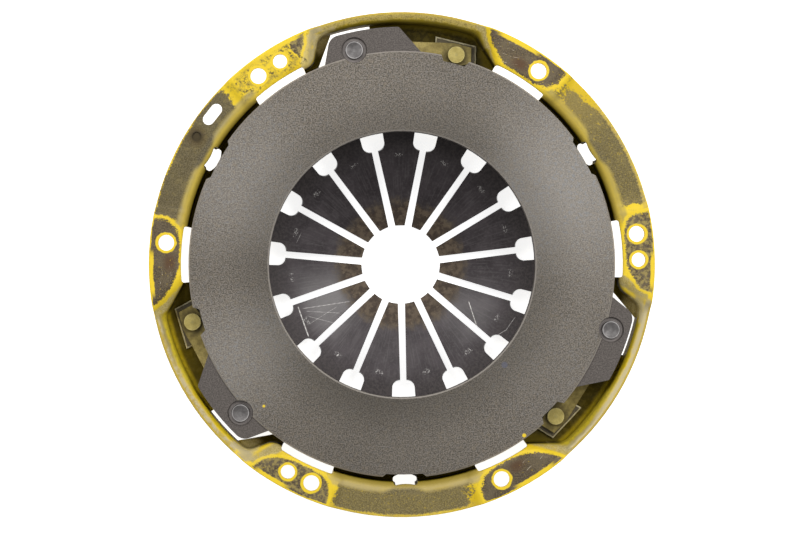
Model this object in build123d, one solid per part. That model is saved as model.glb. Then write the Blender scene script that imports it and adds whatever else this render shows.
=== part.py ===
from build123d import *
import math
import os

# Clutch cover assembly for a car, lying with its friction face up.
# The origin is the centre of the plane that bolts to the flywheel, and +Z points at the flywheel.
# All lengths are in millimetres and all angles in degrees, counted from +X towards +Y.

# Layout
sectors = 3
finger_count = 15
finger_phase = 30.0

# Friction ring of the pressure plate
plate_outer_radius = 121.2
plate_inner_radius = 75.7
plate_thickness = 10.7
plate_free_drop = 5.3
plate_edge_chamfer = 0.8
plate_travel = 3.9
access_notch_angle = 74.4
access_notch_span = 6.0
access_notch_depth = 3.5
relief_angle = 29.5
relief_span = 10.0
relief_depth = 1.9
notch_ramp = 0.9

# Ridge on the back of the plate, where the diaphragm spring bears
ridge_inset = 14.2
ridge_crest_radius = 3.0
ridge_root_growth = 1.0
ridge_root_overlap = 2.7
ridge_gap_count = 9
ridge_gap_width = 11.0
ridge_gap_floor = 1.5

# Lugs of the plate, where the drive straps hold it
lug_step = 1.5
lug_root_depth = 2.7
lug_heel_start = 82.4
lug_heel_end = 89.7
lug_toe_start = 106.7
lug_toe_end = 110.9
lug_heel_corner = 2.5
lug_toe_corner = 7.0
lug_rivet_angle = 101.5
lug_rivet_inset = 10.3
counterbore_radius = 7.3
counterbore_depth = 2.8

# Pressed cover
sheet = 4.5
wall_gap = 2.6
bolt_land = 10.2
flange_margin = 9.3
lug_gap = 2.8
rim_lip = 1.0
bend_radius = 4.0
edge_rounding = 0.7

# Raised pads that meet the flywheel, and the lower stretches between them
bridge_drop = 2.5
rim_drop = 5.0
slope_radius = 7.0
bridge_start = 11.5
bridge_end = 48.0
pad_heel_outer = 67.0
pad_heel_inner = 61.0
pad_toe_outer = 111.5
pad_toe_inner = 117.0
pad_slant_depth = 17.3

# Holes in the flange
bolt_hole_radius = 4.5
dowel_hole_radius = 4.0
dowel_angle = 0.0
bolt_a_angle = 6.3
bolt_b_angle = 53.7
slot_angle = 140.6
slot_radius_inset = 6.3
slot_length = 13.6
slot_width = 6.7
dimple_angle = 147.0
dimple_radius = 2.6
dimple_depth = 1.2

# Pockets of the cover around the lugs
pocket_heel_inner = 60.4
pocket_heel_outer = 71.4
pocket_toe_outer = 109.3
pocket_toe_inner = 113.9
pocket_outer_corner = 7.0
pocket_inner_corner = 9.0
pocket_root_depth = 3.7
pocket_floor_corner = 2.0
platform_start = 66.5
platform_end = 95.8
platform_inner_gap = 2.2
pocket_opening_start = 96.6
pocket_opening_end_outer = 104.5
pocket_opening_end_inner = 116.5
opening_bite = 0.4
opening_top_drop = 8.0

# Vent windows in the wall under the pads, and the bean-shaped holes in the bridges
window_a_start = -4.5
window_a_end = 10.5
window_b_start = 49.0
window_b_end = 63.7
window_inner_step = 2.3
window_outer_step = 1.5
window_corner = 1.4
bean_angle = 29.8
bean_half_span = 3.2
bean_outer_step = 2.2
bean_bump = 1.3
bean_inner_step = 2.1
bean_corner = 1.5
bean_wall_inset = 0.6

# Bowl of the cover behind the diaphragm spring
bowl_corner_drop = 1.5
bowl_corner_radius = 6.0
bowl_shelf_gap = 7.5
bowl_shelf_radius = 10.0
cover_bore_land = 6.5

# Diaphragm spring, drawn free, as a cone
spring_thickness = 2.8
spring_slope = 0.25
spring_rim_land = 2.0
spring_tip_radius = 23.1
spring_lever = 16.5
slot_tip_width = 4.15
slot_root_width = 3.6
window_root_radius = 66.7
window_root_width = 12.6
window_rim_width = 14.8
window_rim_gap = 0.4
window_root_corner = 4.6
window_rim_corner = 2.5

# Fulcrum rings and the shouldered rivets that hold them
wire_radius = 2.0
shoulder_radius = 3.8
fulcrum_shank_radius = 3.2
fulcrum_head_radius = 7.3
fulcrum_head_thickness = 2.3
fulcrum_head_gap = 1.05
fulcrum_tail_radius = 5.5
fulcrum_tail_height = 2.6
fulcrum_tail_crown = 2.2
fulcrum_tail_edge = 0.65

# Drive straps, their spacer plates and rivets
leaf_count = 3
leaf_thickness = 0.8
leaf_gap = 0.03
strap_half_width = 6.9
strap_end_half_width = 4.5
strap_end_reach = 8.7
strap_end_taper = 9.5
strap_flat_reach = 9.0
strap_set = 4.6
cover_rivet_angle = 74.3
cover_rivet_inset = 10.0
spacer_thickness = 2.44
spacer_end_reach = 11.6
spacer_inner_reach = 8.0
spacer_outer_reach = 8.2
spacer_toe_reach = 12.0
spacer_skew = 11.6
spacer_edge_chamfer = 0.9
strap_shank_radius = 3.4
cover_rivet_head_radius = 4.95
cover_rivet_head_height = 3.0
lug_rivet_head_radius = 5.2
lug_rivet_head_height = 2.5
lug_rivet_dish_radius = 4.4
lug_rivet_dish_depth = 0.5
strap_tail_radius = 5.2
strap_tail_height = 2.7
strap_tail_crown = 3.6
rivet_edge = 0.3

# Clearances
seat_gap = 0.05
shank_gap = 0.1
join_tolerance = 0.0001

# Radii that follow from the plate
wall_radius = plate_outer_radius + wall_gap
bolt_circle_radius = wall_radius + bolt_land
flange_radius = bolt_circle_radius + flange_margin
pocket_radius = flange_radius - rim_lip - sheet
lug_radius = pocket_radius - lug_gap
lug_rivet_radius = lug_radius - lug_rivet_inset
cover_rivet_radius = bolt_circle_radius - cover_rivet_inset
ridge_radius = plate_outer_radius - ridge_inset
spring_outer_radius = ridge_radius + spring_rim_land
fulcrum_radius = ridge_radius - spring_lever
rivet_circle_radius = fulcrum_radius - wire_radius - shoulder_radius - 2 * shank_gap
cover_bore_radius = rivet_circle_radius - cover_bore_land
window_rim_radius = rivet_circle_radius + shoulder_radius + window_rim_gap
bowl_shelf_start = fulcrum_radius + wire_radius + bowl_shelf_gap
platform_inner_radius = ridge_radius + ridge_crest_radius + ridge_root_growth + platform_inner_gap

# Heights that follow from the plate
plate_top = -plate_free_drop
plate_back = plate_top - plate_thickness
lug_top = plate_top - lug_step
pack_thickness = leaf_count * leaf_thickness + (leaf_count - 1) * leaf_gap
strap_cover_top = plate_back - strap_set
strap_cover_bottom = strap_cover_top - pack_thickness
pocket_floor = strap_cover_bottom - spacer_thickness
cone_stretch = math.sqrt(1 + spring_slope**2)
wire_lift = (spring_thickness / 2 + wire_radius) * cone_stretch
shoulder_rise = wire_lift + wire_radius + seat_gap
fulcrum_head_top = plate_back - plate_travel - fulcrum_head_gap
fulcrum_height = fulcrum_head_top - fulcrum_head_thickness - shoulder_rise
bowl_floor = fulcrum_height - shoulder_rise
bowl_corner = pocket_floor - bowl_corner_drop
form_depth = -bowl_floor + 3 * sheet
sector_step = 360 / sectors


def polar(radius, angle):
    """Point in plan at a radius and an angle."""
    return (radius * math.cos(math.radians(angle)), radius * math.sin(math.radians(angle)))


def prism(face, low, high):
    """Solid with a flat outline between two heights."""
    return extrude(Pos(0, 0, low) * face, amount=high - low)


def around(shape, count):
    """Copies of a shape, evenly spaced about the main axis."""
    return [Rot(0, 0, 360 / count * k) * shape for k in range(count)]


def sector_face(inner, outer, start, end):
    """Flat piece of a ring between two radii and two angles."""
    middle = (start + end) / 2
    return make_face(
        [
            ThreePointArc(polar(outer, start), polar(outer, middle), polar(outer, end)),
            Line(polar(outer, end), polar(inner, end)),
            ThreePointArc(polar(inner, end), polar(inner, middle), polar(inner, start)),
            Line(polar(inner, start), polar(outer, start)),
        ]
    )


def revolved(face):
    """Solid of revolution of a face drawn with X as radius and Y as height."""
    return revolve(Plane.XZ * face, axis=Axis.Z)


def near(shape, point):
    """Vertex of a flat shape that is nearest to a point in plan."""
    return shape.vertices().sort_by_distance((point[0], point[1], 0))[0]


def edge_at(body, radius, angle, height):
    """Edge of a body nearest to a point; a fillet on it runs on along the smooth chain."""
    return body.edges().sort_by_distance((*polar(radius, angle), height))[0]


# Cover


def slope_cutter(start, end, drop):
    """Space above an S-shaped step that goes down to the left of the line from start to end."""
    along = Vector(end[0] - start[0], end[1] - start[1], 0).normalized()
    side = Vector(-along.Y, along.X, 0)
    turn = math.acos(1 - drop / (2 * slope_radius))
    half = slope_radius * math.sin(turn)
    reach = 3 * flange_radius
    step = [
        TangentArc((0, 0), (half, -drop / 2), tangent=(1, 0)),
        TangentArc((half, -drop / 2), (2 * half, -drop), tangent=(math.cos(turn), -math.sin(turn))),
        Line((2 * half, -drop), (reach, -drop)),
        Line((reach, -drop), (reach, sheet)),
        Line((reach, sheet), (0, sheet)),
        Line((0, sheet), (0, 0)),
    ]
    plane = Plane(origin=(start[0], start[1], 0), x_dir=side, z_dir=side.cross(Vector(0, 0, 1)))
    return extrude(plane * make_face(step), amount=reach, both=True)


def flange_form():
    """Everything below the top surface of the flange, out to its edge."""
    inner_radius = flange_radius - pad_slant_depth
    bridge = slope_cutter((0, 0), polar(flange_radius, bridge_start), bridge_drop)
    bridge &= slope_cutter(polar(flange_radius, bridge_end), (0, 0), bridge_drop)
    heel = (polar(inner_radius, pad_heel_inner), polar(flange_radius, pad_heel_outer))
    toe = (polar(flange_radius, pad_toe_outer), polar(inner_radius, pad_toe_inner))
    zone = sector_face(plate_inner_radius, 2 * flange_radius, bridge_end, bridge_start + sector_step)
    rim = slope_cutter(*heel, rim_drop) & slope_cutter(*toe, rim_drop)
    rim &= prism(zone, -form_depth, sheet)
    form = prism(Circle(flange_radius), -form_depth, 0)
    return form - around(bridge, sectors) - around(rim, sectors)


def pocket_plan():
    """Outline of the hollow of the cover: a circle with a pocket for each lug."""
    inside = wall_radius - pocket_root_depth
    heel_in = polar(inside, pocket_heel_inner)
    heel_out = polar(pocket_radius, pocket_heel_outer)
    toe_out = polar(pocket_radius, pocket_toe_outer)
    toe_in = polar(inside, pocket_toe_inner)
    crown = polar(pocket_radius, (pocket_heel_outer + pocket_toe_outer) / 2)
    pocket = make_face(
        [
            Line(heel_in, heel_out),
            ThreePointArc(heel_out, crown, toe_out),
            Line(toe_out, toe_in),
            Line(toe_in, heel_in),
        ]
    )
    plan = Circle(wall_radius) + around(pocket, sectors)
    outer = [v for v in plan.vertices() if math.hypot(v.X, v.Y) > (wall_radius + pocket_radius) / 2]
    plan = fillet(outer, pocket_outer_corner)
    inner = [
        v
        for v in plan.vertices()
        if math.hypot(v.X, v.Y) < wall_radius + 0.01 and abs(v.Y) > 0.01
    ]
    return fillet(inner, pocket_inner_corner)


def bowl_face(growth):
    """Section of the hollow behind the plate, grown by the sheet for the outside."""
    face = make_face(
        Polyline(
            (0, sheet),
            (wall_radius, sheet),
            (wall_radius, bowl_corner),
            (bowl_shelf_start, bowl_floor),
            (0, bowl_floor),
            close=True,
        )
    )
    face = fillet(near(face, (wall_radius, bowl_corner)), bowl_corner_radius)
    face = fillet(near(face, (bowl_shelf_start, bowl_floor)), bowl_shelf_radius)
    if growth:
        half_plane = Pos(flange_radius, 0) * Rectangle(2 * flange_radius, 4 * form_depth)
        face = offset(face, growth) & half_plane
    return face


def hollow(growth):
    """Inside of the cover, or its outside when grown by the sheet."""
    plan = pocket_plan()
    if growth:
        plan = offset(plan, growth)
    upper = prism(plan, pocket_floor - growth, sheet)
    upper = fillet(upper.edges().group_by(Axis.Z)[0], pocket_floor_corner + growth)
    turn = math.degrees(growth / platform_inner_radius)
    platform = sector_face(
        platform_inner_radius + growth,
        flange_radius,
        platform_start + turn,
        platform_end - turn,
    )
    lower = revolved(bowl_face(growth))
    lower -= around(prism(platform, -form_depth, pocket_floor - growth), sectors)
    return upper.fuse(lower, tol=join_tolerance)


def pocket_opening():
    """Hole through the pocket floor behind each lug rivet, its end slanted like the pocket's."""
    corners = [
        polar(platform_inner_radius, pocket_opening_start),
        polar(flange_radius, pocket_opening_start),
        polar(flange_radius, pocket_opening_end_outer),
        polar(platform_inner_radius, pocket_opening_end_inner),
    ]
    outline = offset(pocket_plan(), opening_bite) & make_face(Polyline(corners, close=True))
    return prism(outline, -form_depth, -rim_drop - opening_top_drop)


def window(start, end, form):
    """Opening through the wall under a pad, and through the inner edge of the pad."""
    inner = wall_radius - window_inner_step
    lip = sector_face(inner, wall_radius + window_outer_step, start, end)
    lip = fillet(lip.vertices(), window_corner)
    wall = sector_face(inner, wall_radius + sheet + rim_lip, start, end)
    wall = fillet(wall.vertices(), window_corner)
    return prism(lip, -form_depth, sheet) + (prism(wall, -form_depth, sheet) & form)


def bean_hole(form):
    """Bean-shaped hole through the bend of a bridge, open through the wall below it."""
    start = bean_angle - bean_half_span
    end = bean_angle + bean_half_span
    outer = wall_radius + bean_outer_step
    inner = wall_radius - bean_inner_step
    bean = make_face(
        [
            ThreePointArc(polar(outer, start), polar(outer - bean_bump, bean_angle), polar(outer, end)),
            Line(polar(outer, end), polar(wall_radius - bean_bump, end)),
            ThreePointArc(
                polar(wall_radius - bean_bump, end),
                polar(inner - bean_bump, bean_angle),
                polar(wall_radius - bean_bump, start),
            ),
            Line(polar(wall_radius - bean_bump, start), polar(outer, start)),
        ]
    )
    bean = fillet(bean.vertices(), bean_corner)
    wall_start = start + bean_wall_inset
    wall_end = end - bean_wall_inset
    wall = sector_face(wall_radius - bean_bump, wall_radius + sheet + rim_lip, wall_start, wall_end)
    return prism(bean, -form_depth, sheet) + (prism(wall, -form_depth, sheet) & form)


def flange_holes():
    """Bolt holes, dowel holes, the one slotted hole and the small dimple beside it."""
    bolt = prism(Circle(bolt_hole_radius), -form_depth, sheet)
    dowel = prism(Circle(dowel_hole_radius), -form_depth, sheet)
    holes = around(Pos(*polar(bolt_circle_radius, bolt_a_angle)) * bolt, sectors)
    holes += around(Pos(*polar(bolt_circle_radius, bolt_b_angle)) * bolt, sectors)
    holes += around(Pos(*polar(bolt_circle_radius, dowel_angle)) * dowel, sectors)
    slot_place = Pos(*polar(flange_radius - slot_radius_inset, slot_angle)) * Rot(0, 0, slot_angle + 90)
    holes.append(slot_place * prism(SlotOverall(slot_length, slot_width), -form_depth, sheet))
    dimple_place = Pos(*polar(flange_radius - slot_radius_inset, dimple_angle))
    dimple = prism(Circle(dimple_radius), -bridge_drop - dimple_depth, sheet)
    holes.append(dimple_place * dimple)
    return holes


def cover():
    """Pressed steel cover with its flange, wall, pockets and back ring."""
    form = flange_form()
    under = Pos(0, 0, -sheet) * form
    inside = hollow(0)
    body = (form - under) + (form & hollow(sheet)) - inside
    middle = (bridge_start + bridge_end) / 2
    body = fillet(edge_at(body, wall_radius, middle, -bridge_drop), bend_radius)
    body = fillet(edge_at(body, flange_radius, middle, -bridge_drop), edge_rounding)
    body -= around(window(window_a_start, window_a_end, under), sectors)
    body -= around(window(window_b_start, window_b_end, under), sectors)
    body -= around(bean_hole(under), sectors)
    body -= around(pocket_opening(), sectors)
    body -= flange_holes()
    body -= prism(Circle(cover_bore_radius), -form_depth, 0)
    fulcrum_hole = prism(Circle(fulcrum_shank_radius + shank_gap), -form_depth, bowl_floor + sheet)
    first = Rot(0, 0, finger_phase) * Pos(rivet_circle_radius, 0) * fulcrum_hole
    body -= around(first, finger_count)
    strap_hole = prism(Circle(strap_shank_radius + shank_gap), -form_depth, pocket_floor + sheet)
    body -= around(Pos(*polar(cover_rivet_radius, cover_rivet_angle)) * strap_hole, sectors)
    return body


# Pressure plate


def lug_face():
    """Outline of one lug in plan, reaching into the ring."""
    root = plate_outer_radius - lug_root_depth
    heel_in = polar(root, lug_heel_start)
    heel_out = polar(lug_radius, lug_heel_end)
    toe_out = polar(lug_radius, lug_toe_start)
    toe_in = polar(root, lug_toe_end)
    crown = polar(lug_radius, (lug_heel_end + lug_toe_start) / 2)
    face = make_face(
        [
            Line(heel_in, heel_out),
            ThreePointArc(heel_out, crown, toe_out),
            Line(toe_out, toe_in),
            Line(toe_in, heel_in),
        ]
    )
    face = fillet(near(face, heel_out), lug_heel_corner)
    return fillet(near(face, toe_out), lug_toe_corner)


def edge_notch(angle, span, depth):
    """Notch in the outer edge of the plate, with slanted ends."""
    floor = plate_outer_radius - depth
    mouth = 2 * lug_radius
    start = angle - span / 2
    end = angle + span / 2
    return make_face(
        [
            ThreePointArc(polar(floor, start), polar(floor, angle), polar(floor, end)),
            Line(polar(floor, end), polar(plate_outer_radius, end + notch_ramp)),
            Line(polar(plate_outer_radius, end + notch_ramp), polar(mouth, end + notch_ramp)),
            Line(polar(mouth, end + notch_ramp), polar(mouth, start - notch_ramp)),
            Line(polar(mouth, start - notch_ramp), polar(plate_outer_radius, start - notch_ramp)),
            Line(polar(plate_outer_radius, start - notch_ramp), polar(floor, start)),
        ]
    )


def ridge():
    """Ring on the back of the plate that bears on the spring, with gaps for air."""
    spring_top = fulcrum_height + spring_slope * spring_lever + spring_thickness / 2 * cone_stretch
    centre = spring_top + (ridge_crest_radius + seat_gap) * cone_stretch
    root = ridge_crest_radius + ridge_root_growth
    section = make_face(
        Polyline(
            (ridge_radius - ridge_crest_radius, centre),
            (ridge_radius + ridge_crest_radius, centre),
            (ridge_radius + root, plate_back),
            (ridge_radius + root, plate_back + ridge_root_overlap),
            (ridge_radius - root, plate_back + ridge_root_overlap),
            (ridge_radius - root, plate_back),
            close=True,
        )
    )
    section += Pos(ridge_radius, centre) * Circle(ridge_crest_radius)
    gap = Box(4 * root, ridge_gap_width, 2 * form_depth, align=(Align.CENTER, Align.CENTER, Align.MAX))
    first = Pos(ridge_radius, 0, plate_back - ridge_gap_floor) * gap
    return revolved(section) - around(first, ridge_gap_count)


def pressure_plate():
    """Cast friction ring with three lugs, its ridge, notches and rivet holes."""
    width = plate_outer_radius - plate_inner_radius
    section = Pos(plate_inner_radius + width / 2, plate_top - plate_thickness / 2) * Rectangle(
        width, plate_thickness
    )
    ring = revolved(chamfer(section.vertices(), plate_edge_chamfer))
    body = ring + around(prism(lug_face(), plate_back, lug_top), sectors) + ridge()
    access = edge_notch(access_notch_angle, access_notch_span, access_notch_depth)
    relief = edge_notch(relief_angle, relief_span, relief_depth)
    body -= around(prism(access, -form_depth, 0), sectors)
    body -= around(prism(relief, -form_depth, 0), sectors)
    place = Pos(*polar(lug_rivet_radius, lug_rivet_angle))
    seat = place * prism(Circle(counterbore_radius), lug_top - counterbore_depth, 0)
    hole = place * prism(Circle(strap_shank_radius + shank_gap), -form_depth, 0)
    return body - around(seat, sectors) - around(hole, sectors)


# Diaphragm spring and fulcrum


def spring_middle(radius):
    """Height of the middle of the spring at a radius."""
    return fulcrum_height + spring_slope * (radius - fulcrum_radius)


def diaphragm_spring():
    """Conical spring steel disc with slots and windows between its fingers."""
    half = spring_thickness / 2 * cone_stretch
    tip = spring_middle(spring_tip_radius)
    rim = spring_middle(spring_outer_radius)
    section = make_face(
        Polyline(
            (spring_tip_radius, tip - half),
            (spring_outer_radius, rim - half),
            (spring_outer_radius, rim + half),
            (spring_tip_radius, tip + half),
            close=True,
        )
    )
    slot = make_face(
        Polyline(
            (spring_tip_radius - slot_tip_width, -slot_tip_width / 2),
            (window_root_radius + window_root_corner, -slot_root_width / 2),
            (window_root_radius + window_root_corner, slot_root_width / 2),
            (spring_tip_radius - slot_tip_width, slot_tip_width / 2),
            close=True,
        )
    )
    pane = make_face(
        Polyline(
            (window_root_radius, -window_root_width / 2),
            (window_rim_radius, -window_rim_width / 2),
            (window_rim_radius, window_rim_width / 2),
            (window_root_radius, window_root_width / 2),
            close=True,
        )
    )
    corners = pane.vertices().group_by(Axis.X)
    pane = fillet(corners[0], window_root_corner)
    pane = fillet(pane.vertices().group_by(Axis.X)[-1], window_rim_corner)
    cutter = Rot(0, 0, finger_phase) * prism(slot + pane, 2 * fulcrum_height, 0)
    return revolved(section) - around(cutter, finger_count)


def fulcrum_ring(side):
    """Round wire ring on one side of the spring."""
    height = fulcrum_height + side * wire_lift
    return revolved(Pos(fulcrum_radius, height) * Circle(wire_radius))


def fulcrum_rivets():
    """Shouldered rivets through the windows of the spring."""
    outside = bowl_floor - sheet
    under_head = fulcrum_height + shoulder_rise
    section = make_face(
        Polyline(
            (0, fulcrum_head_top),
            (fulcrum_head_radius - 2 * rivet_edge, fulcrum_head_top),
            (fulcrum_head_radius, fulcrum_head_top - 2 * rivet_edge),
            (fulcrum_head_radius, under_head),
            (shoulder_radius, under_head),
            (shoulder_radius, bowl_floor),
            (fulcrum_shank_radius, bowl_floor),
            (fulcrum_shank_radius, outside),
            (fulcrum_tail_radius, outside),
            (fulcrum_tail_radius, outside - fulcrum_tail_edge),
            (fulcrum_tail_crown, outside - fulcrum_tail_height),
            (0, outside - fulcrum_tail_height),
            close=True,
        )
    )
    first = Rot(0, 0, finger_phase) * Pos(rivet_circle_radius, 0) * revolved(section)
    return Compound(children=around(first, finger_count))


# Drive straps


def strap_ends():
    """Plan positions of the rivets at the cover end and the plate end of a strap."""
    cover_end = Vector(*polar(cover_rivet_radius, cover_rivet_angle))
    plate_end = Vector(*polar(lug_rivet_radius, lug_rivet_angle))
    return cover_end, plate_end


def strap_frame():
    """Frame at the cover rivet, with X along the strap and Y outwards."""
    cover_end, plate_end = strap_ends()
    along = (plate_end - cover_end).normalized()
    return Plane(origin=(cover_end.X, cover_end.Y, 0), x_dir=along, z_dir=(0, 0, -1))


def strap_plan(length):
    """Outline of a strap leaf with its two rivet holes."""
    start = -strap_end_reach
    end = length + strap_end_reach
    outline = make_face(
        Polyline(
            (start, -strap_end_half_width),
            (start + strap_end_taper, -strap_half_width),
            (end - strap_end_taper, -strap_half_width),
            (end, -strap_end_half_width),
            (end, strap_end_half_width),
            (end - strap_end_taper, strap_half_width),
            (start + strap_end_taper, strap_half_width),
            (start, strap_end_half_width),
            close=True,
        )
    )
    hole = Circle(strap_shank_radius + shank_gap)
    return outline - hole - Pos(length, 0) * hole


def strap_leaf(index):
    """One leaf of a drive strap, bent in an S from the cover up to the lug."""
    cover_end, plate_end = strap_ends()
    length = (plate_end - cover_end).length
    low = strap_cover_top - index * (leaf_thickness + leaf_gap)
    high = plate_back - index * (leaf_thickness + leaf_gap)
    rise = high - low
    run = length - 2 * strap_flat_reach
    turn = 2 * math.atan2(rise, run)
    middle = (strap_flat_reach + run / 2, low + rise / 2)
    start = -2 * strap_end_reach
    end = length + 2 * strap_end_reach
    top = [
        Line((start, low), (strap_flat_reach, low)),
        TangentArc((strap_flat_reach, low), middle, tangent=(1, 0)),
        TangentArc(middle, (length - strap_flat_reach, high), tangent=(math.cos(turn), math.sin(turn))),
        Line((length - strap_flat_reach, high), (end, high)),
    ]
    bottom = [Pos(0, -leaf_thickness) * edge for edge in top]
    sides = [
        Line((start, low), (start, low - leaf_thickness)),
        Line((end, high), (end, high - leaf_thickness)),
    ]
    frame = strap_frame()
    side_plane = Plane(origin=frame.origin, x_dir=frame.x_dir, z_dir=frame.x_dir.cross(Vector(0, 0, 1)))
    sheet_form = extrude(side_plane * make_face(top + bottom + sides), amount=2 * strap_half_width, both=True)
    blank = extrude(frame * strap_plan(length), amount=form_depth)
    return sheet_form & blank


def strap_spacer():
    """Spacer plate between the pocket floor and the cover end of a strap."""
    skew = math.tan(math.radians(spacer_skew))
    start = -spacer_end_reach
    end = spacer_toe_reach
    outline = make_face(
        Polyline(
            (start, -spacer_inner_reach),
            (end, -spacer_inner_reach),
            (end, spacer_outer_reach + end * skew),
            (start, spacer_outer_reach + start * skew),
            close=True,
        )
    )
    outline -= Circle(strap_shank_radius + shank_gap)
    plate = Pos(0, 0, pocket_floor) * extrude(strap_frame() * outline, amount=-spacer_thickness)
    top = plate.edges().group_by(Axis.Z)[-1].filter_by(GeomType.LINE)
    return chamfer(top, spacer_edge_chamfer)


def strap_rivet(head_radius, head_top, seat, tail):
    """Rivet with a flat head on its seat and a set tail under the stack."""
    rim = strap_tail_radius
    section = make_face(
        Polyline(
            (0, head_top),
            (head_radius - rivet_edge, head_top),
            (head_radius, head_top - rivet_edge),
            (head_radius, seat),
            (strap_shank_radius, seat),
            (strap_shank_radius, tail),
            (rim, tail),
            (rim, tail - strap_tail_height / 2),
            (strap_tail_crown, tail - strap_tail_height),
            (0, tail - strap_tail_height),
            close=True,
        )
    )
    return revolved(section)


def cover_strap_rivet():
    """Rivet that holds a strap and its spacer on the pocket floor."""
    head_top = strap_cover_top + cover_rivet_head_height
    rivet = strap_rivet(cover_rivet_head_radius, head_top, strap_cover_top, pocket_floor - sheet)
    return Pos(*polar(cover_rivet_radius, cover_rivet_angle)) * rivet


def plate_strap_rivet():
    """Rivet that holds a strap on the back of a lug, its dished head sunk in the counterbore."""
    seat = lug_top - counterbore_depth
    tail = plate_back - pack_thickness
    top = seat + lug_rivet_head_height
    rivet = strap_rivet(lug_rivet_head_radius, top, seat, tail)
    ball_radius = (lug_rivet_dish_radius**2 + lug_rivet_dish_depth**2) / (2 * lug_rivet_dish_depth)
    rivet -= Pos(0, 0, top + ball_radius - lug_rivet_dish_depth) * Sphere(ball_radius)
    return Pos(*polar(lug_rivet_radius, lug_rivet_angle)) * rivet


def all_parts():
    """Every node of the assembly by name."""
    parts = {
        "cover": cover(),
        "pressure_plate": pressure_plate(),
        "diaphragm_spring": diaphragm_spring(),
        "fulcrum_ring_plate_side": fulcrum_ring(1),
        "fulcrum_ring_cover_side": fulcrum_ring(-1),
        "fulcrum_rivets": fulcrum_rivets(),
    }
    leaf_names = ["top", "middle", "bottom"]
    leaves = [strap_leaf(index) for index in range(leaf_count)]
    for number in range(sectors):
        turn = Rot(0, 0, sector_step * number)
        for name, leaf in zip(leaf_names, leaves):
            parts[f"strap_{number + 1}_leaf_{name}"] = turn * leaf
        parts[f"strap_{number + 1}_spacer"] = turn * strap_spacer()
        parts[f"strap_{number + 1}_cover_rivet"] = turn * cover_strap_rivet()
        parts[f"strap_{number + 1}_plate_rivet"] = turn * plate_strap_rivet()
    return parts


os.makedirs("parts", exist_ok=True)
for node, shape in all_parts().items():
    export_step(shape, f"parts/{node}.step")
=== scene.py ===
import bpy
import bmesh
import math
from mathutils import Matrix, Vector


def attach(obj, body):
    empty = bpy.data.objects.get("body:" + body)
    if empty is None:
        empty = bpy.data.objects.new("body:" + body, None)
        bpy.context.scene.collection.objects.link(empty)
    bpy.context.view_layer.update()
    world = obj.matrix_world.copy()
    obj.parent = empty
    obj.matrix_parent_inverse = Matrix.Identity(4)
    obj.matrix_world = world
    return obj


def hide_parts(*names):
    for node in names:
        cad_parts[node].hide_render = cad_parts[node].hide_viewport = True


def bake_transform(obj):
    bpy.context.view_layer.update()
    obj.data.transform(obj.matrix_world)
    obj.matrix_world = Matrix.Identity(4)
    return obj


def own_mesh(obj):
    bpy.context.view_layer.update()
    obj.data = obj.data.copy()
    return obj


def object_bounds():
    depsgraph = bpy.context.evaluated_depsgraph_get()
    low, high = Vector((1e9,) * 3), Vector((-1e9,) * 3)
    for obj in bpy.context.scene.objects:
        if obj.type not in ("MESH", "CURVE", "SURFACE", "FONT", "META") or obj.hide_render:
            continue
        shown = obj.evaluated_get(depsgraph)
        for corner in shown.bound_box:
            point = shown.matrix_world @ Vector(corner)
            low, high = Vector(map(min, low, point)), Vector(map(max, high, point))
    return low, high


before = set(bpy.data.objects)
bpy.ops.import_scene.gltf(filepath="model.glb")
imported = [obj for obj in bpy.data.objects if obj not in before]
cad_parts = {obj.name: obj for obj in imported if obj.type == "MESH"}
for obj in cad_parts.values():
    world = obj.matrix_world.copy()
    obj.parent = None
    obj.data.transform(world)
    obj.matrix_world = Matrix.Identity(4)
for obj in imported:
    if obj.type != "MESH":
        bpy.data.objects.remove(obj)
cad_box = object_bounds()

# Lengths are in millimetres and angles in degrees, in the frame of the model, unless said otherwise.
MM = 0.001
SECTORS = 3
SECTOR_STEP = 120.0
SECTOR_START = 30.0

# Holes in the flange of the cover, by their angle in a sector
BOLT_R = 134.0
BOLT_ANGLES = (6.3, 53.7)
DOWEL_ANGLE = 0.0
DOWEL_SMALLER = 0.6

# Diaphragm spring
FINGERS = 15
FINGER_PHASE = 30.0
FINGER_MIDDLE = 18.0
FULCRUM_Z = -28.805
FULCRUM_R = 90.5
SPRING_SLOPE = 0.25
SPRING_THICKNESS = 2.8
SPRING_EDGE = 0.22
TIP_R = 23.1
SPRING_R = 109.0
SLOT_HALF_TIP = 2.075
SLOT_HALF_ROOT = 1.8
WINDOW_ROOT = 66.7
WINDOW_RIM = 88.7
WINDOW_HALF_ROOT = 6.3
WINDOW_HALF_RIM = 7.4
ROOT_CORNER = 4.6
RIM_CORNER = 2.5

# Counts of the spring's mesh, and the distance from the windows to its disc rows
SLOT_STEPS = 16
ROOT_STEPS = 8
SIDE_STEPS = 6
RIM_STEPS = 6
MIDDLE_STEPS = 4
FINGER_COLUMNS = 9
DISC_ROWS = 9
DISC_START = 4.0

# Drive straps: each rivet is a radius and an angle
COVER_RIVET = (124.0, 74.3)
PLATE_RIVET = (124.7, 101.5)
LEAF_TOP = -20.6
PLATE_BACK = -16.0
LEAF_THICKNESS = 0.8
LEAF_STEP = 0.83
LEAF_EDGE = 0.1
LEAF_HOLE_R = 3.5
LEAF_HOLE_POINTS = 32
LEAF_SLICES = 28
STRAP_HALF = 6.9
STRAP_END_HALF = 4.5
STRAP_END_REACH = 8.7
STRAP_END_TAPER = 9.5
STRAP_FLAT = 9.0

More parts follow.
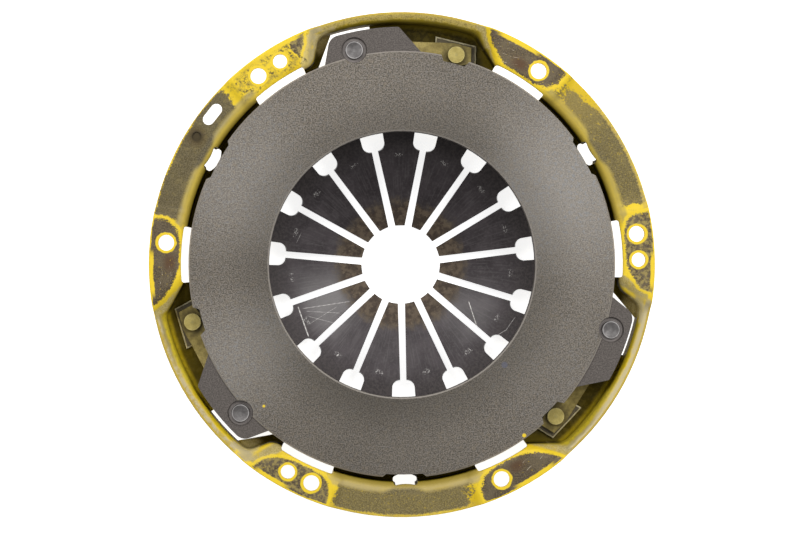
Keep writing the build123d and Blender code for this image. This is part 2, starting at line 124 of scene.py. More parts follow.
# Floor and light. FLOOR_HALF is in metres. Lamps: name, place and width in metres, power in watts
FLOOR_HALF = 6.0
FLOOR_GAP = 0.4
FLOOR_GLOW = 0.82
WORLD_LIGHT = 0.42
LAMPS = (
    ("right", (0.85, 0.45, 1.45), 0.9, 11.0),
    ("left", (-0.75, 0.62, 1.45), 0.9, 9.0),
    ("top", (0.05, 1.35, 1.45), 1.0, 9.0),
)

# Camera: turn of the picture, then its place and aim along the right and the upper side of the picture
PHOTO_TURN = -1.1
CAMERA_RIGHT = -34.5
CAMERA_UP = -3.7
CAMERA_HEIGHT = 1500.0
AIM_RIGHT = -1.37
AIM_UP = -1.25
CAMERA_LENS = 119.4


def polar(radius, degrees):
    """Point in plan at a radius and an angle."""
    return radius * math.cos(math.radians(degrees)), radius * math.sin(math.radians(degrees))


class Paint:
    """A material and short calls that add nodes to it. Numbers and sockets can be mixed freely."""

    def __init__(self, name):
        self.material = bpy.data.materials.new(name)
        self.material.use_nodes = True
        self.tree = self.material.node_tree
        self.shader = self.tree.nodes["Principled BSDF"]

    def add(self, kind, **settings):
        node = self.tree.nodes.new(kind)
        for key, value in settings.items():
            setattr(node, key, value)
        return node

    def put(self, socket, value):
        if isinstance(value, bpy.types.NodeSocket):
            self.tree.links.new(value, socket)
        else:
            socket.default_value = value

    def fill(self, node, values):
        """Puts values on the named or numbered inputs of a node and gives its first output."""
        for key, value in values.items():
            self.put(node.inputs[key], value)
        return node.outputs[0]

    def set(self, name, value):
        self.put(self.shader.inputs[name], value)

    def math(self, operation, *values):
        node = self.add("ShaderNodeMath", operation=operation)
        for socket, value in zip(node.inputs, values):
            self.put(socket, value)
        return node.outputs[0]

    def step(self, value, low, high):
        """Smooth change from 0 at low to 1 at high: plain numbers, and high may be the smaller one."""
        node = self.add("ShaderNodeMapRange", interpolation_type="SMOOTHSTEP")
        values = {"Value": value, "From Min": min(low, high), "From Max": max(low, high)}
        if high <= low:
            values.update({"To Min": 1.0, "To Max": 0.0})
        return self.fill(node, values)

    def band(self, value, low, high, soft):
        """1 between low and high, with soft ends."""
        rise = self.step(value, low - soft, low + soft)
        fall = self.step(value, high + soft, high - soft)
        return self.math("MULTIPLY", rise, fall)

    def chain(self, operation, values):
        result = values[0]
        for value in values[1:]:
            result = self.math(operation, result, value)
        return result

    def times(self, *values):
        return self.chain("MULTIPLY", values)

    def most(self, *values):
        return self.chain("MAXIMUM", values)

    def plus(self, *values):
        return self.chain("ADD", values)

    def less(self, value, other):
        return self.math("SUBTRACT", value, other)

    def inverse(self, value):
        return self.math("SUBTRACT", 1.0, value)

    def wrap(self, value, period):
        return self.math("FLOORED_MODULO", value, period)

    def vector(self, x, y, z):
        node = self.add("ShaderNodeCombineXYZ")
        for socket, value in zip(node.inputs, (x, y, z)):
            self.put(socket, value)
        return node.outputs[0]

    def split(self, vector):
        node = self.add("ShaderNodeSeparateXYZ")
        self.put(node.inputs[0], vector)
        return node.outputs

    def place(self):
        """Object coordinates in millimetres: the vector, x, y, z, radius and angle in degrees."""
        coordinates = self.add("ShaderNodeTexCoord")
        scale = self.add("ShaderNodeVectorMath", operation="SCALE")
        self.point = self.fill(scale, {0: coordinates.outputs["Object"], "Scale": 1 / MM})
        self.normal = coordinates.outputs["Normal"]
        self.x, self.y, self.z = self.split(self.point)
        self.r = self.length(self.x, self.y)
        turn = self.math("DEGREES", self.math("ARCTAN2", self.y, self.x))
        self.a = self.wrap(turn, 360.0)
        return self

    def turned(self, angle):
        """Point in plan at the same radius and another angle."""
        turn = self.math("RADIANS", angle)
        return [self.times(self.r, self.math(name, turn)) for name in ("COSINE", "SINE")]

    def length(self, x, y):
        return self.math("SQRT", self.plus(self.times(x, x), self.times(y, y)))

    def distance(self, x, y, point):
        """Distance in plan between x, y and a fixed point."""
        return self.length(self.less(x, point[0]), self.less(y, point[1]))

    def beyond(self, x, y, point, direction):
        """Distance of x, y past a line through a point, counted in a direction of length 1."""
        across = self.times(self.less(x, point[0]), direction[0])
        return self.plus(across, self.times(self.less(y, point[1]), direction[1]))

    def noise(self, scale, detail=2.0, roughness=0.5, vector=None):
        """Noise of about 0 to 1 whose features are scale millimetres across."""
        values = {"Vector": vector or self.point, "Scale": 1 / scale}
        values.update({"Detail": detail, "Roughness": roughness})
        return self.fill(self.add("ShaderNodeTexNoise"), values)

    def grains(self, scale, detail, roughness, low, high):
        """Noise turned into separate spots."""
        return self.step(self.noise(scale, detail, roughness), low, high)

    def mix(self, factor, a, b):
        """Colour between a and b."""
        node = self.add("ShaderNodeMix", data_type="RGBA")
        self.put(node.inputs["Factor"], factor)
        colours = [socket for socket in node.inputs if socket.type == "RGBA"]
        for socket, value in zip(colours, (a, b)):
            if not isinstance(value, bpy.types.NodeSocket):
                value = (*value, 1.0)
            self.put(socket, value)
        return next(socket for socket in node.outputs if socket.type == "RGBA")

    def blend(self, factor, a, b):
        """Number between a and b."""
        return self.fill(self.add("ShaderNodeMix", data_type="FLOAT"), {0: factor, 2: a, 3: b})

    def over(self, under, tone, *masks):
        """Lays a tone over a colour, as far as the product of the masks goes."""
        return self.mix(self.times(*masks), under, tone)

    def bump(self, height, distance, strength):
        values = {"Height": height, "Distance": distance * MM, "Strength": strength}
        self.set("Normal", self.fill(self.add("ShaderNodeBump"), values))

    def inside(self, points, x, y):
        """Distance inside a convex outline that runs round to the left, negative outside."""
        result = None
        for (x0, y0), (x1, y1) in zip(points, points[1:] + points[:1]):
            length = math.hypot(x1 - x0, y1 - y0)
            nx, ny = -(y1 - y0) / length, (x1 - x0) / length
            away = self.plus(self.times(x, nx), self.times(y, ny), -(x0 * nx + y0 * ny))
            result = away if result is None else self.math("MINIMUM", result, away)
        return result


# Colours


def srgb(red, green, blue):
    """Linear colour of a display colour with channels from 0 to 255."""
    linear = []
    for value in (red, green, blue):
        share = value / 255
        linear.append(share / 12.92 if share <= 0.04045 else ((share + 0.055) / 1.055) ** 2.4)
    return tuple(linear)


# Paint of the cover and the dust on it; the crest, bend and rolled bend tones are painted highlights, the
# crest shade painted shade
YELLOW = srgb(236, 204, 44)
YELLOW_DEEP = srgb(216, 183, 28)
YELLOW_PALE = srgb(214, 196, 132)
OLIVE = srgb(118, 106, 66)
CREST_HIGHLIGHT_TOP = srgb(172, 153, 84)
CREST_HIGHLIGHT_LEFT = srgb(186, 172, 134)
CREST_HIGHLIGHT_RIGHT = srgb(194, 180, 138)
CREST_STREAK = srgb(134, 117, 66)
CREST_SHADE = srgb(132, 118, 66)
LIP_DARK = srgb(176, 152, 60)
RIM_SPECK = srgb(96, 82, 34)
RIM_DUST = srgb(162, 143, 90)
BEND_HIGHLIGHT_FIRST = srgb(172, 153, 80)
BEND_HIGHLIGHT_LEFT = srgb(160, 147, 104)
BEND_HIGHLIGHT_LOW = srgb(184, 167, 116)
BEND_FOOT = srgb(174, 153, 72)
BEND_FOOT_LOW = srgb(180, 162, 104)
BEND_INSIDE = srgb(140, 120, 34)
ROLLED_BEND_HIGHLIGHT = srgb(176, 163, 126)

# Slopes between pads and pockets, each a dark and a pale grain
SLOPE = (srgb(142, 128, 84), srgb(178, 164, 116))
SLOPE_TOP = srgb(222, 200, 124)
# Painted light on the toe ends of the pockets, in a dark and a pale grain
TOE_SLOPE_LIGHT = (srgb(186, 168, 104), srgb(212, 194, 134))

# Worn bridges, each a dark and a pale grain, and what lies on them
WORN_FIRST = (srgb(82, 74, 52), srgb(120, 109, 76))
WORN_LEFT = (srgb(68, 62, 52), srgb(98, 91, 74))
WORN_LOW = (srgb(100, 90, 62), srgb(140, 127, 88))
WORN_FADED = srgb(158, 139, 74)
WORN_PATCH = srgb(132, 119, 80)
WORN_FLECK = srgb(186, 162, 62)
WORN_PIT = srgb(52, 46, 36)
HEAT_RIM = srgb(72, 57, 40)
HEAT_MIDDLE = srgb(32, 26, 31)

# Bare steel of the pads
BARE = (srgb(78, 68, 54), srgb(110, 97, 75))
BARE_PALE = srgb(122, 110, 87)
BARE_DUSTY = srgb(164, 147, 88)
RUST = srgb(90, 64, 44)
PAD_SCRATCH = srgb(196, 184, 160)
PAD_SPECK = srgb(70, 64, 46)
CUT_EDGE = srgb(168, 160, 142)

# Grime and painted shade on the inside, darker with depth, and painted light and shade in the pockets of the
# lugs
MUSTARD = srgb(156, 136, 32)
GRIME_AND_SHADE = srgb(96, 82, 6)
PAINTED_DEEP_SHADE = srgb(44, 36, 2)
GRIME_SPECK = srgb(112, 96, 22)
# Walls of the pockets: painted light in the middle, painted shade at the foot and in the top lug
WALL_TOP = srgb(176, 155, 34)
WALL_MIDDLE_LIGHT = srgb(250, 224, 66)
WALL_FOOT_SHADE = srgb(158, 137, 22)
WALL_TOP_LUG_SHADE = srgb(96, 82, 22)
# Floors of the pockets, one tone per lug: painted light by the wall, painted shade further in
FLOOR_OUTER_LIGHT = {"right": srgb(162, 139, 12), "top": srgb(116, 101, 18), "left": srgb(196, 170, 20)}
FLOOR_INNER_SHADE = {"right": srgb(54, 45, 2), "top": srgb(38, 32, 6), "left": srgb(74, 63, 3)}

# Grey iron of the pressure plate, with painted sheen and painted shade on its face, painted highlights on
# its edges and painted light in its counterbores
IRON = (srgb(71, 65, 57), srgb(139, 131, 120))
IRON_GRAIN = srgb(74, 68, 60)
IRON_CLOUD = srgb(138, 131, 122)
IRON_PAINTED_SHEEN = srgb(186, 181, 174)
IRON_BLUISH = srgb(134, 142, 152)
IRON_WARM = srgb(146, 130, 104)
IRON_DARK = srgb(62, 57, 50)
IRON_BLUE_SPOT = srgb(92, 96, 118)
IRON_PIT = srgb(46, 40, 34)
IRON_EDGE_HIGHLIGHT = srgb(190, 182, 172)
CAST = (srgb(78, 72, 68), srgb(108, 101, 96))
CAST_GRAIN = srgb(86, 80, 76)
COUNTERBORE_LIGHT = srgb(168, 160, 156)

# Spring steel; the bright tone is a painted highlight, the outer tones painted shade
SPRING = (srgb(44, 38, 40), srgb(61, 55, 57))
SPRING_GRAIN = srgb(78, 74, 74)
SPRING_STREAK = srgb(87, 83, 83)
SPRING_OUTER_SHADE = (srgb(39, 34, 34), srgb(55, 49, 48))
SPRING_HIGHLIGHT = srgb(146, 144, 142)
HEAT_BAND = (srgb(61, 50, 38), srgb(93, 80, 64))
HEAT_RED = srgb(56, 39, 32)
HEAT_SANDY = srgb(118, 106, 87)
HEAT_OUTER = srgb(100, 89, 66)
SPRING_SCRATCH = srgb(206, 203, 198)

# Plated and plain small parts: leaves darker near the cover rivet, spacers in painted shade with a painted
# highlight on their chamfer
STRAP_DARK_NEAR_RIVET = srgb(82, 72, 36)
SPACER_SHADED = (srgb(62, 54, 34), srgb(84, 74, 48))
SPACER_BEVEL_HIGHLIGHT = srgb(240, 230, 190)


# Cover


# Places in a sector: the first and the last angle
PAD_ONE = (48.0, 66.8)
PAD_TWO = (-8.0, 11.5)
LENS_ONE = (56.5, 65.6)
LENS_TWO = (-6.2, 1.0)
SPECKLED_PAD = (-7.0, 12.5)
BRIDGE = (10.0, 49.5)
BEAN_HOLE = (25.5, 33.5)
TOE_END = (-13.4, -9.2)
RUSTY_PART = (56.6, 60.4)
SCRATCHED_PART = (59.5, 65.0)

# Places on the whole cover: the first and the last angle
LEFT_SECTOR = (90.0, 210.0)
LOW_SECTOR = (210.0, 330.0)
TOP_LUG = (66.0, 112.0)
LEFT_LUG = (186.0, 231.0)
PAINTED_TOE = (227.0, 236.0)
PALE_TOE = (98.0, 118.0)
PITTED_BRIDGE = (152.0, 168.0)
HEAT_SPOT = (137.0, 147.0)

# Edge of the one-hole pad towards a pocket, and the toe line of the two-hole pad: a point and a direction
PAD_EDGE = ((51.7, 133.3), (-0.976, -0.216))
TOE_LINE = ((131.0, -11.0), (-0.496, -0.868))

# Ranges of radius: rolled rim of the pockets with its painted highlight and the painted shade inside it,
# specks on a rim, bend of the bridges with its painted highlight, paint left round a hole
CREST = (139.8, 142.1)
CREST_SHADOW = (137.6, 140.8)
SPECKED_RIM = (134.0, 142.2)
BEND = (127.0, 130.4)
HOLE_RING = (6.15, 5.65)

# Outlines of the bare patches, as angle in the sector and radius
PATCH_ONE = (
    (69.2, 146.0), (68.4, 141.5), (67.4, 137.0), (64.7, 131.0), (61.4, 126.8),
    (57.2, 125.9), (53.0, 126.0), (49.6, 129.5), (48.0, 135.0), (48.3, 146.0),
)
PATCH_TWO = (
    (11.3, 146.0), (11.1, 136.0), (10.4, 130.5), (7.6, 126.9), (3.0, 126.2),
    (-1.5, 127.0), (-4.6, 130.5), (-6.9, 136.0), (-8.4, 146.0),
)


class CoverPlace:
    """Where a point of the cover lies, which way it faces, and the noises in its paint."""

    def __init__(self, p):
        self.p = p
        self.noises(p)
        self.sectors(p)
        self.facing(p)
        self.pockets(p)

    def noises(self, p):
        self.fine = p.noise(0.8, 3.0, 0.65)
        self.grain = p.noise(2.2, 3.0, 0.6)
        self.cloud = p.noise(9.0, 2.0, 0.5)
        self.wide = p.noise(28.0, 2.0, 0.5)
        self.sand = p.step(self.fine, 0.4, 0.62)
        far = p.times(p.less(self.cloud, 0.5), 4.0)
        middle = p.times(p.less(self.grain, 0.5), 3.0)
        self.ragged = p.plus(far, middle, p.times(p.less(self.fine, 0.5), 1.6))

    def radius(self, amount):
        """Radius made uneven by the ragged noise."""
        return self.p.plus(self.p.r, self.p.times(self.ragged, amount))

    def sectors(self, p):
        """Angle in the sector, the point turned into the first one, and masks."""
        self.u = p.less(p.wrap(p.plus(p.a, SECTOR_START), SECTOR_STEP), SECTOR_START)
        self.x, self.y = p.turned(self.u)
        self.left = p.band(p.a, *LEFT_SECTOR, 0.5)
        self.low = p.band(p.a, *LOW_SECTOR, 0.5)
        self.first = p.inverse(p.plus(self.left, self.low))
        self.top_lug = p.band(p.a, *TOP_LUG, 1.0)
        self.left_lug = p.band(p.a, *LEFT_LUG, 1.0)

    def facing(self, p):
        """Parts of the normal along the axis and away from it; within leaves out the outer walls."""
        self.up = p.split(p.normal)[2]
        radial = p.add("ShaderNodeVectorMath", operation="DOT_PRODUCT")
        p.fill(radial, {0: p.normal, 1: p.vector(p.x, p.y, 0.0)})
        self.out = p.math("DIVIDE", radial.outputs["Value"], p.r)
        self.within = p.step(self.out, 0.5, 0.2)

    def pockets(self, p):
        """Distances past the pads on both sides of a lug, and masks of its pocket and well."""
        roughly = p.times(self.ragged, 0.3)
        past_pad = p.plus(p.beyond(self.x, self.y, *PAD_EDGE), roughly)
        self.behind = p.times(p.step(self.u, 60.0, 61.0), past_pad)
        self.past_toe = p.plus(p.beyond(self.x, self.y, *TOE_LINE), roughly)
        self.in_lug = p.most(p.step(self.behind, 3.0, 6.0), p.step(self.u, -8.5, -10.5))
        self.in_well = p.most(p.step(self.behind, 5.4, 8.4), p.step(self.u, -10.5, -13.0))
        self.well_turn = p.wrap(p.less(p.a, 60.0), SECTOR_STEP)


def hole_rings(p, at):
    """Rings of paint left round the dowel hole and the bolt holes."""
    nearest = p.plus(p.distance(at.x, at.y, polar(BOLT_R, DOWEL_ANGLE)), DOWEL_SMALLER)
    for angle in BOLT_ANGLES:
        nearest = p.math("MINIMUM", nearest, p.distance(at.x, at.y, polar(BOLT_R, angle)))
    return p.step(p.plus(nearest, p.times(at.ragged, 0.35)), *HOLE_RING)


class PadWear:
    """Bare patches of the pads, their bright outline, the paint kept in them, the speckled pad."""

    def __init__(self, p, at):
        self.one_hole = p.inside([polar(r, a) for a, r in PATCH_ONE], at.x, at.y)
        two_hole = p.inside([polar(r, a) for a, r in PATCH_TWO], at.x, at.y)
        # In the left sector only the toe end of the two-hole pad is bare
        past_end = p.step(p.plus(at.u, p.times(at.ragged, 0.4)), -5.0, -3.0)
        two_hole = p.less(two_hole, p.times(at.left, past_end, 9.0))
        patch = p.plus(p.most(self.one_hole, two_hole), p.times(at.ragged, 0.6))
        edge = at.radius(0.35)
        lens_one = p.times(p.band(at.u, *LENS_ONE, 1.4), p.step(edge, 140.2, 141.0))
        lens_two = p.times(p.band(at.u, *LENS_TWO, 1.4), p.step(edge, 140.4, 141.2))
        rim = p.step(edge, 142.2, 142.7)
        self.keep = p.most(hole_rings(p, at), rim, lens_one, lens_two)
        chipped = p.blend(p.band(at.u, 48.0, 52.0, 1.5), 4.0, 8.0)
        broken = p.times(p.less(p.noise(0.9, 3.0, 0.75), 0.5), chipped)
        self.bare = p.times(p.step(p.plus(patch, broken), 0.0, 0.7), p.inverse(self.keep))
        self.outline = p.band(patch, -1.7, 0.2, 0.45)
        self.speckled = p.times(at.left, p.band(at.u, *SPECKLED_PAD, 1.5), p.band(p.r, 127.0, 140.5, 1.5))


def bridge_mask(p, at):
    """Worn olive stretch of each bridge; its ends differ from sector to sector."""
    start = p.plus(12.5, p.times(at.left, 1.5), p.times(at.low, -1.0))
    end = p.plus(51.0, p.times(at.left, -2.4), p.times(at.low, -2.5))
    fade = p.plus(9.0, p.times(at.left, -7.6), p.times(at.low, -2.5))
    rise = p.plus(p.math("DIVIDE", p.less(at.u, start), 2.2), p.times(at.ragged, 0.3))
    fall = p.plus(p.math("DIVIDE", p.less(end, at.u), fade), p.times(at.ragged, 0.3))
    along = p.times(p.step(rise, 0.0, 1.0), p.step(fall, 0.0, 1.0))
    # It reaches further in beside the bean-shaped hole, and the first one is narrower towards its end
    by_hole = p.times(p.band(at.u, *BEAN_HOLE, 2.0), 2.6)
    inner = p.step(p.plus(p.r, by_hole, p.times(at.ragged, -0.25)), 127.8, 131.0)
    narrower = p.times(p.step(at.u, 36.0, 41.0), at.first, 2.8)
    drawn_in = p.plus(p.times(at.left, -1.2), p.times(at.low, -0.4), narrower)
    outer = p.step(p.plus(at.radius(0.4), drawn_in), 142.9, 139.6)
    speck = p.times(p.less(p.noise(1.0, 3.0, 0.7), 0.5), 1.5)
    return p.times(p.step(p.plus(p.times(along, outer), speck), 0.25, 0.65), inner)


def dusty_paint(p, at, pads):
    """Yellow in two tones, with olive dust that is thickest on the speckled pad."""
    colour = p.mix(p.step(at.wide, 0.4, 0.62), YELLOW, YELLOW_DEEP)
    dust = p.times(p.step(at.grain, 0.52, 0.66), p.step(at.cloud, 0.4, 0.6))
    spots = p.grains(3.4, 4.0, 0.7, 0.44, 0.6)
    dust = p.most(dust, p.times(pads.speckled, spots))
    return p.over(colour, OLIVE, dust, 0.5)


def lug_rims(p, at, colour):
    """Rolled rims of the pockets: a streaked crest with a painted highlight, paler on the left and right
    lugs, painted shade near the heel, and a darker lip.
    """
    heel_noise = p.plus(at.cloud, p.times(at.grain, 0.6))
    near_heel = p.times(at.in_lug, p.step(p.r, 144.0, 137.0), p.step(heel_noise, 0.55, 0.95))
    colour = p.over(colour, YELLOW_PALE, near_heel, 0.8)

    unpainted = p.inverse(p.band(p.a, *PAINTED_TOE, 0.8))
    # Painted highlight on the crest of the rolled rim, paler on the left and right lugs than on the top one,
    # broken by streaks
    crest = p.band(at.radius(0.2), *CREST, 0.5)
    crest = p.times(at.in_lug, at.within, crest, unpainted)
    streak = p.step(p.plus(p.noise(3.0, 3.0, 0.65), p.times(p.inverse(at.left_lug), 0.12)), 0.4, 0.56)
    tone = p.mix(at.top_lug, p.mix(at.left_lug, CREST_HIGHLIGHT_RIGHT, CREST_HIGHLIGHT_LEFT), CREST_HIGHLIGHT_TOP)
    tone = p.over(tone, CREST_STREAK, at.left_lug, p.inverse(streak), 0.85)
    colour = p.over(colour, tone, crest, p.blend(streak, 0.6, 0.95))

    shadow = p.band(at.radius(0.3), *CREST_SHADOW, 0.6)
    heel_side = p.step(at.well_turn, 27.0, 16.0)
    shadow = p.times(at.in_lug, at.within, heel_side, p.inverse(at.top_lug), shadow)
    colour = p.over(colour, CREST_SHADE, shadow, 0.75)

    # Darker tone on the lip, on the faces that turn down at the outer edge of the rim
    lip = p.times(at.in_lug, p.step(p.r, 141.8, 142.2), p.step(at.up, 0.1, 0.4), unpainted)
    colour = p.over(colour, LIP_DARK, lip, 0.75)
    specks = p.grains(1.0, 3.0, 0.75, 0.47, 0.58)
    specks = p.times(at.top_lug, at.within, specks, p.band(p.r, *SPECKED_RIM, 0.8))
    return p.over(colour, RIM_SPECK, specks, 0.6)


def bridge_bends(p, at, colour):
    """Bend between each bridge and the wall: a mottled painted highlight, palest in the low sector, darker
    further in.
    """
    bridge = p.times(p.band(at.u, *BRIDGE, 2.0), at.within)
    # Painted highlight along the bend, palest in the low sector, where the bend faces the lamps
    bend = p.times(p.band(at.radius(0.2), *BEND, 1.0), bridge)
    tone = p.mix(at.low, p.mix(at.left, BEND_HIGHLIGHT_FIRST, BEND_HIGHLIGHT_LEFT), BEND_HIGHLIGHT_LOW)
    colour = p.over(colour, tone, bend, p.blend(p.step(at.cloud, 0.35, 0.6), 0.6, 0.9))
    foot = p.times(bridge, p.step(p.r, 128.8, 127.4), 0.75)
    colour = p.mix(foot, colour, p.mix(at.low, BEND_FOOT, BEND_FOOT_LOW))
    inside = p.step(p.plus(at.radius(0.3), p.times(at.low, -1.2)), 126.6, 124.0)
    return p.over(colour, BEND_INSIDE, bridge, inside, 0.75)


def pad_slopes(p, at, colour):
    """Worn slopes from the pads down to the lug pockets."""
    heel_slope = p.band(at.behind, 1.9, 6.4, 0.9)
    toe_slope = p.band(at.past_toe, 0.8, 6.6, 0.9)
    toe_slope = p.times(toe_slope, p.step(at.u, 20.0, 10.0), p.step(p.r, 141.0, 139.8))
    worn = p.step(p.plus(at.cloud, p.times(at.fine, 0.5)), 0.36, 0.7)
    slope = p.times(p.most(heel_slope, toe_slope), at.within, worn)
    tone = p.mix(at.sand, *SLOPE)
    tone = p.over(tone, SLOPE_TOP, p.band(p.a, *PALE_TOE, 2.0), 0.7)
    return p.over(colour, tone, slope, 0.85)


def bridge_rims(p, at, colour):
    """Dust on the outer rims of the bridges, thinner in the low sector and absent in the left one."""
    first = p.times(at.first, p.band(at.u, 12.0, 37.0, 3.0))
    low = p.times(at.low, p.band(at.u, 12.0, 46.0, 3.0), 0.5)
    rim = p.times(p.plus(first, low), at.within, p.step(p.r, 139.5, 141.0))
    return p.over(colour, RIM_DUST, rim, p.blend(p.step(at.grain, 0.4, 0.6), 0.55, 0.85))


def worn_bridge(p, at):
    """Olive wear with flecks of paint left in it, a heat spot beside the slotted hole, and pits."""
    tone = p.mix(at.sand, *WORN_FIRST)
    tone = p.over(tone, p.mix(at.sand, *WORN_LEFT), at.left, 0.8)
    tone = p.over(tone, p.mix(at.sand, *WORN_LOW), at.low, 0.5)
    faded = p.times(p.step(at.u, 30.0, 42.0), at.first)
    tone = p.over(tone, WORN_FADED, faded, 0.45)
    tone = p.over(tone, WORN_PATCH, p.grains(6.0, 3.0, 0.6, 0.54, 0.64), 0.3)
    not_left = p.inverse(p.times(at.left, 0.8))
    flecks = p.times(p.grains(0.9, 3.0, 0.7, 0.56, 0.68), not_left, 0.45)
    tone = p.mix(flecks, tone, WORN_FLECK)
    chips = p.grains(1.7, 4.0, 0.7, 0.6, 0.68)
    tone = p.over(tone, YELLOW_DEEP, chips, p.blend(faded, 0.35, 0.9), not_left)
    spot = p.plus(p.distance(p.x, p.y, polar(*HEAT_SPOT)), p.times(at.ragged, 0.5))
    tone = p.over(tone, HEAT_RIM, p.step(spot, 8.0, 3.8), 0.6)
    tone = p.over(tone, HEAT_MIDDLE, p.step(spot, 5.0, 2.4), 0.95)
    pits = p.times(p.grains(2.4, 2.0, 0.6, 0.63, 0.68), p.band(p.a, *PITTED_BRIDGE, 2.0))
    return p.over(tone, WORN_PIT, pits, 0.8)


def bare_steel(p, at, pads):
    """Dull steel, rusty near the middle of the one-hole patches, with pale scratches across it."""
    tone = p.mix(at.sand, *BARE)
    tone = p.over(tone, BARE_PALE, p.step(at.cloud, 0.42, 0.6), 0.4)
    dusty = p.times(p.step(pads.one_hole, -2.0, -4.0), p.step(at.grain, 0.44, 0.6), 0.8)
    tone = p.mix(dusty, tone, BARE_DUSTY)
    rust = p.times(p.band(at.u, *RUSTY_PART, 1.6), p.band(p.r, 128.5, 134.5, 2.0))
    rust = p.times(rust, p.step(at.cloud, 0.36, 0.56))
    rust = p.most(rust, p.times(p.grains(5.0, 3.0, 0.6, 0.58, 0.7), 0.2))
    tone = p.over(tone, RUST, rust, 0.8)
    lane = p.plus(p.times(at.x, 0.35), at.y, p.times(p.less(at.wide, 0.5), 14.0))
    line = p.step(p.math("PINGPONG", lane, 2.3), 0.22, 0.05)
    scratch = p.times(line, p.step(at.grain, 0.48, 0.6), p.band(at.u, *SCRATCHED_PART, 1.0))
    tone = p.over(tone, PAD_SCRATCH, scratch, 0.8)
    left_over = p.grains(1.5, 4.0, 0.7, 0.62, 0.69)
    return p.over(tone, YELLOW_DEEP, left_over, 0.7)


def worn_pads(p, at, pads, colour):
    """Bare patches with a bright outline, paint kept in them, and dark specks on the speckled pad."""
    colour = p.over(colour, YELLOW, pads.outline, 0.85)
    colour = p.mix(pads.bare, colour, bare_steel(p, at, pads))
    specks = p.grains(2.4, 4.0, 0.75, 0.53, 0.565)
    groups = p.grains(7.0, 1.0, 0.5, 0.38, 0.5)
    specks = p.times(pads.speckled, specks, groups, p.inverse(pads.keep))
    colour = p.over(colour, PAD_SPECK, specks, 0.85)
    on_pad = p.most(p.step(pads.outline, 0.2, 0.9), p.band(at.u, *PAD_TWO, 0.3), p.band(at.u, *PAD_ONE, 0.3))
    return p.over(colour, YELLOW, pads.keep, on_pad)


def by_lug(p, at, tones):
    """The tone of the lug that a point belongs to."""
    return p.mix(at.left_lug, p.mix(at.top_lug, tones["right"], tones["top"]), tones["left"])


def well_light_and_shade(p, at):
    """Mustard wall and olive floor of the lug pockets in painted light and shade: the wall brighter in its
    middle and darker at its foot, the floor lighter by the wall and darker further in, darkest in the top
    one.
    """
    wall = p.mix(p.step(p.z, -4.0, -10.0), WALL_TOP, WALL_MIDDLE_LIGHT)
    wall = p.mix(p.step(p.z, -17.5, -20.5), wall, WALL_FOOT_SHADE)
    wall = p.over(wall, WALL_TOP_LUG_SHADE, at.top_lug, 0.8)
    # Painted shade on the wall of the right lug too
    right_lug = p.inverse(p.plus(at.top_lug, at.left_lug))
    wall = p.over(wall, GRIME_AND_SHADE, right_lug, 0.3)
    # Floor painted darker further in: painted shade
    inward = p.step(at.radius(0.3), 137.2, 134.4)
    floor = p.mix(inward, by_lug(p, at, FLOOR_OUTER_LIGHT), by_lug(p, at, FLOOR_INNER_SHADE))
    narrowing = p.times(p.step(at.well_turn, 26.0, 34.0), -3.8)
    reach = p.plus(at.radius(0.35), narrowing)
    return p.mix(p.step(reach, 136.0, 138.6), floor, wall)


def grime_and_shade_tone(p, at, depth):
    """Mustard that turns to grime and painted shade further down, and the painted light and shade of the lug
    pockets.
    """
    # Painted shade that deepens with depth, kept off the deep floor further in
    deep_shade = p.step(depth, -10.0, -17.0)
    foot = p.times(p.step(p.z, -20.0, -24.0), p.step(p.r, 136.5, 129.0))
    tone = p.mix(p.step(depth, -5.5, -10.5), MUSTARD, GRIME_AND_SHADE)
    tone = p.over(tone, PAINTED_DEEP_SHADE, deep_shade, p.inverse(foot))
    tone = p.mix(at.in_well, tone, well_light_and_shade(p, at))
    return p.over(tone, GRIME_SPECK, p.step(at.grain, 0.46, 0.62), 0.3)


def grime_and_shade_mask(p, at, inner, depth):
    """Inner faces below the bends, and the pockets up to their rim."""
    edge = p.step(at.radius(0.3), 140.4, 138.6)
    below = p.times(inner, p.step(depth, -4.2, -7.2), p.most(at.in_lug, p.step(p.r, 132.5, 131.0)))
    below = p.most(below, p.times(at.in_well, inner, edge))
    return p.times(below, p.most(p.inverse(at.in_lug), edge))


def toe_ends(p, at, inner, colour):
    """Painted light on the toe end of each pocket, and a painted highlight on the rolled bend beside it."""
    slope = p.times(p.band(at.u, *TOE_END, 1.0), p.step(p.r, 127.0, 131.0), inner, p.step(p.r, 139.5, 138.0))
    colour = p.over(colour, p.mix(at.sand, *TOE_SLOPE_LIGHT), slope, 0.9)
    # Painted highlight on the inward-sloping faces of the rolled bend near the toe
    rolled = p.times(p.band(at.up, 0.45, 0.93, 0.05), p.step(p.z, -10.0, -7.5))
    rolled = p.times(rolled, p.band(at.past_toe, 5.5, 20.0, 1.5), p.step(at.u, 20.0, 10.0))
    rolled = p.times(rolled, p.step(at.out, 0.0, -0.15), p.step(at.cloud, 0.3, 0.55), 0.8)
    return p.mix(rolled, colour, ROLLED_BEND_HIGHLIGHT)


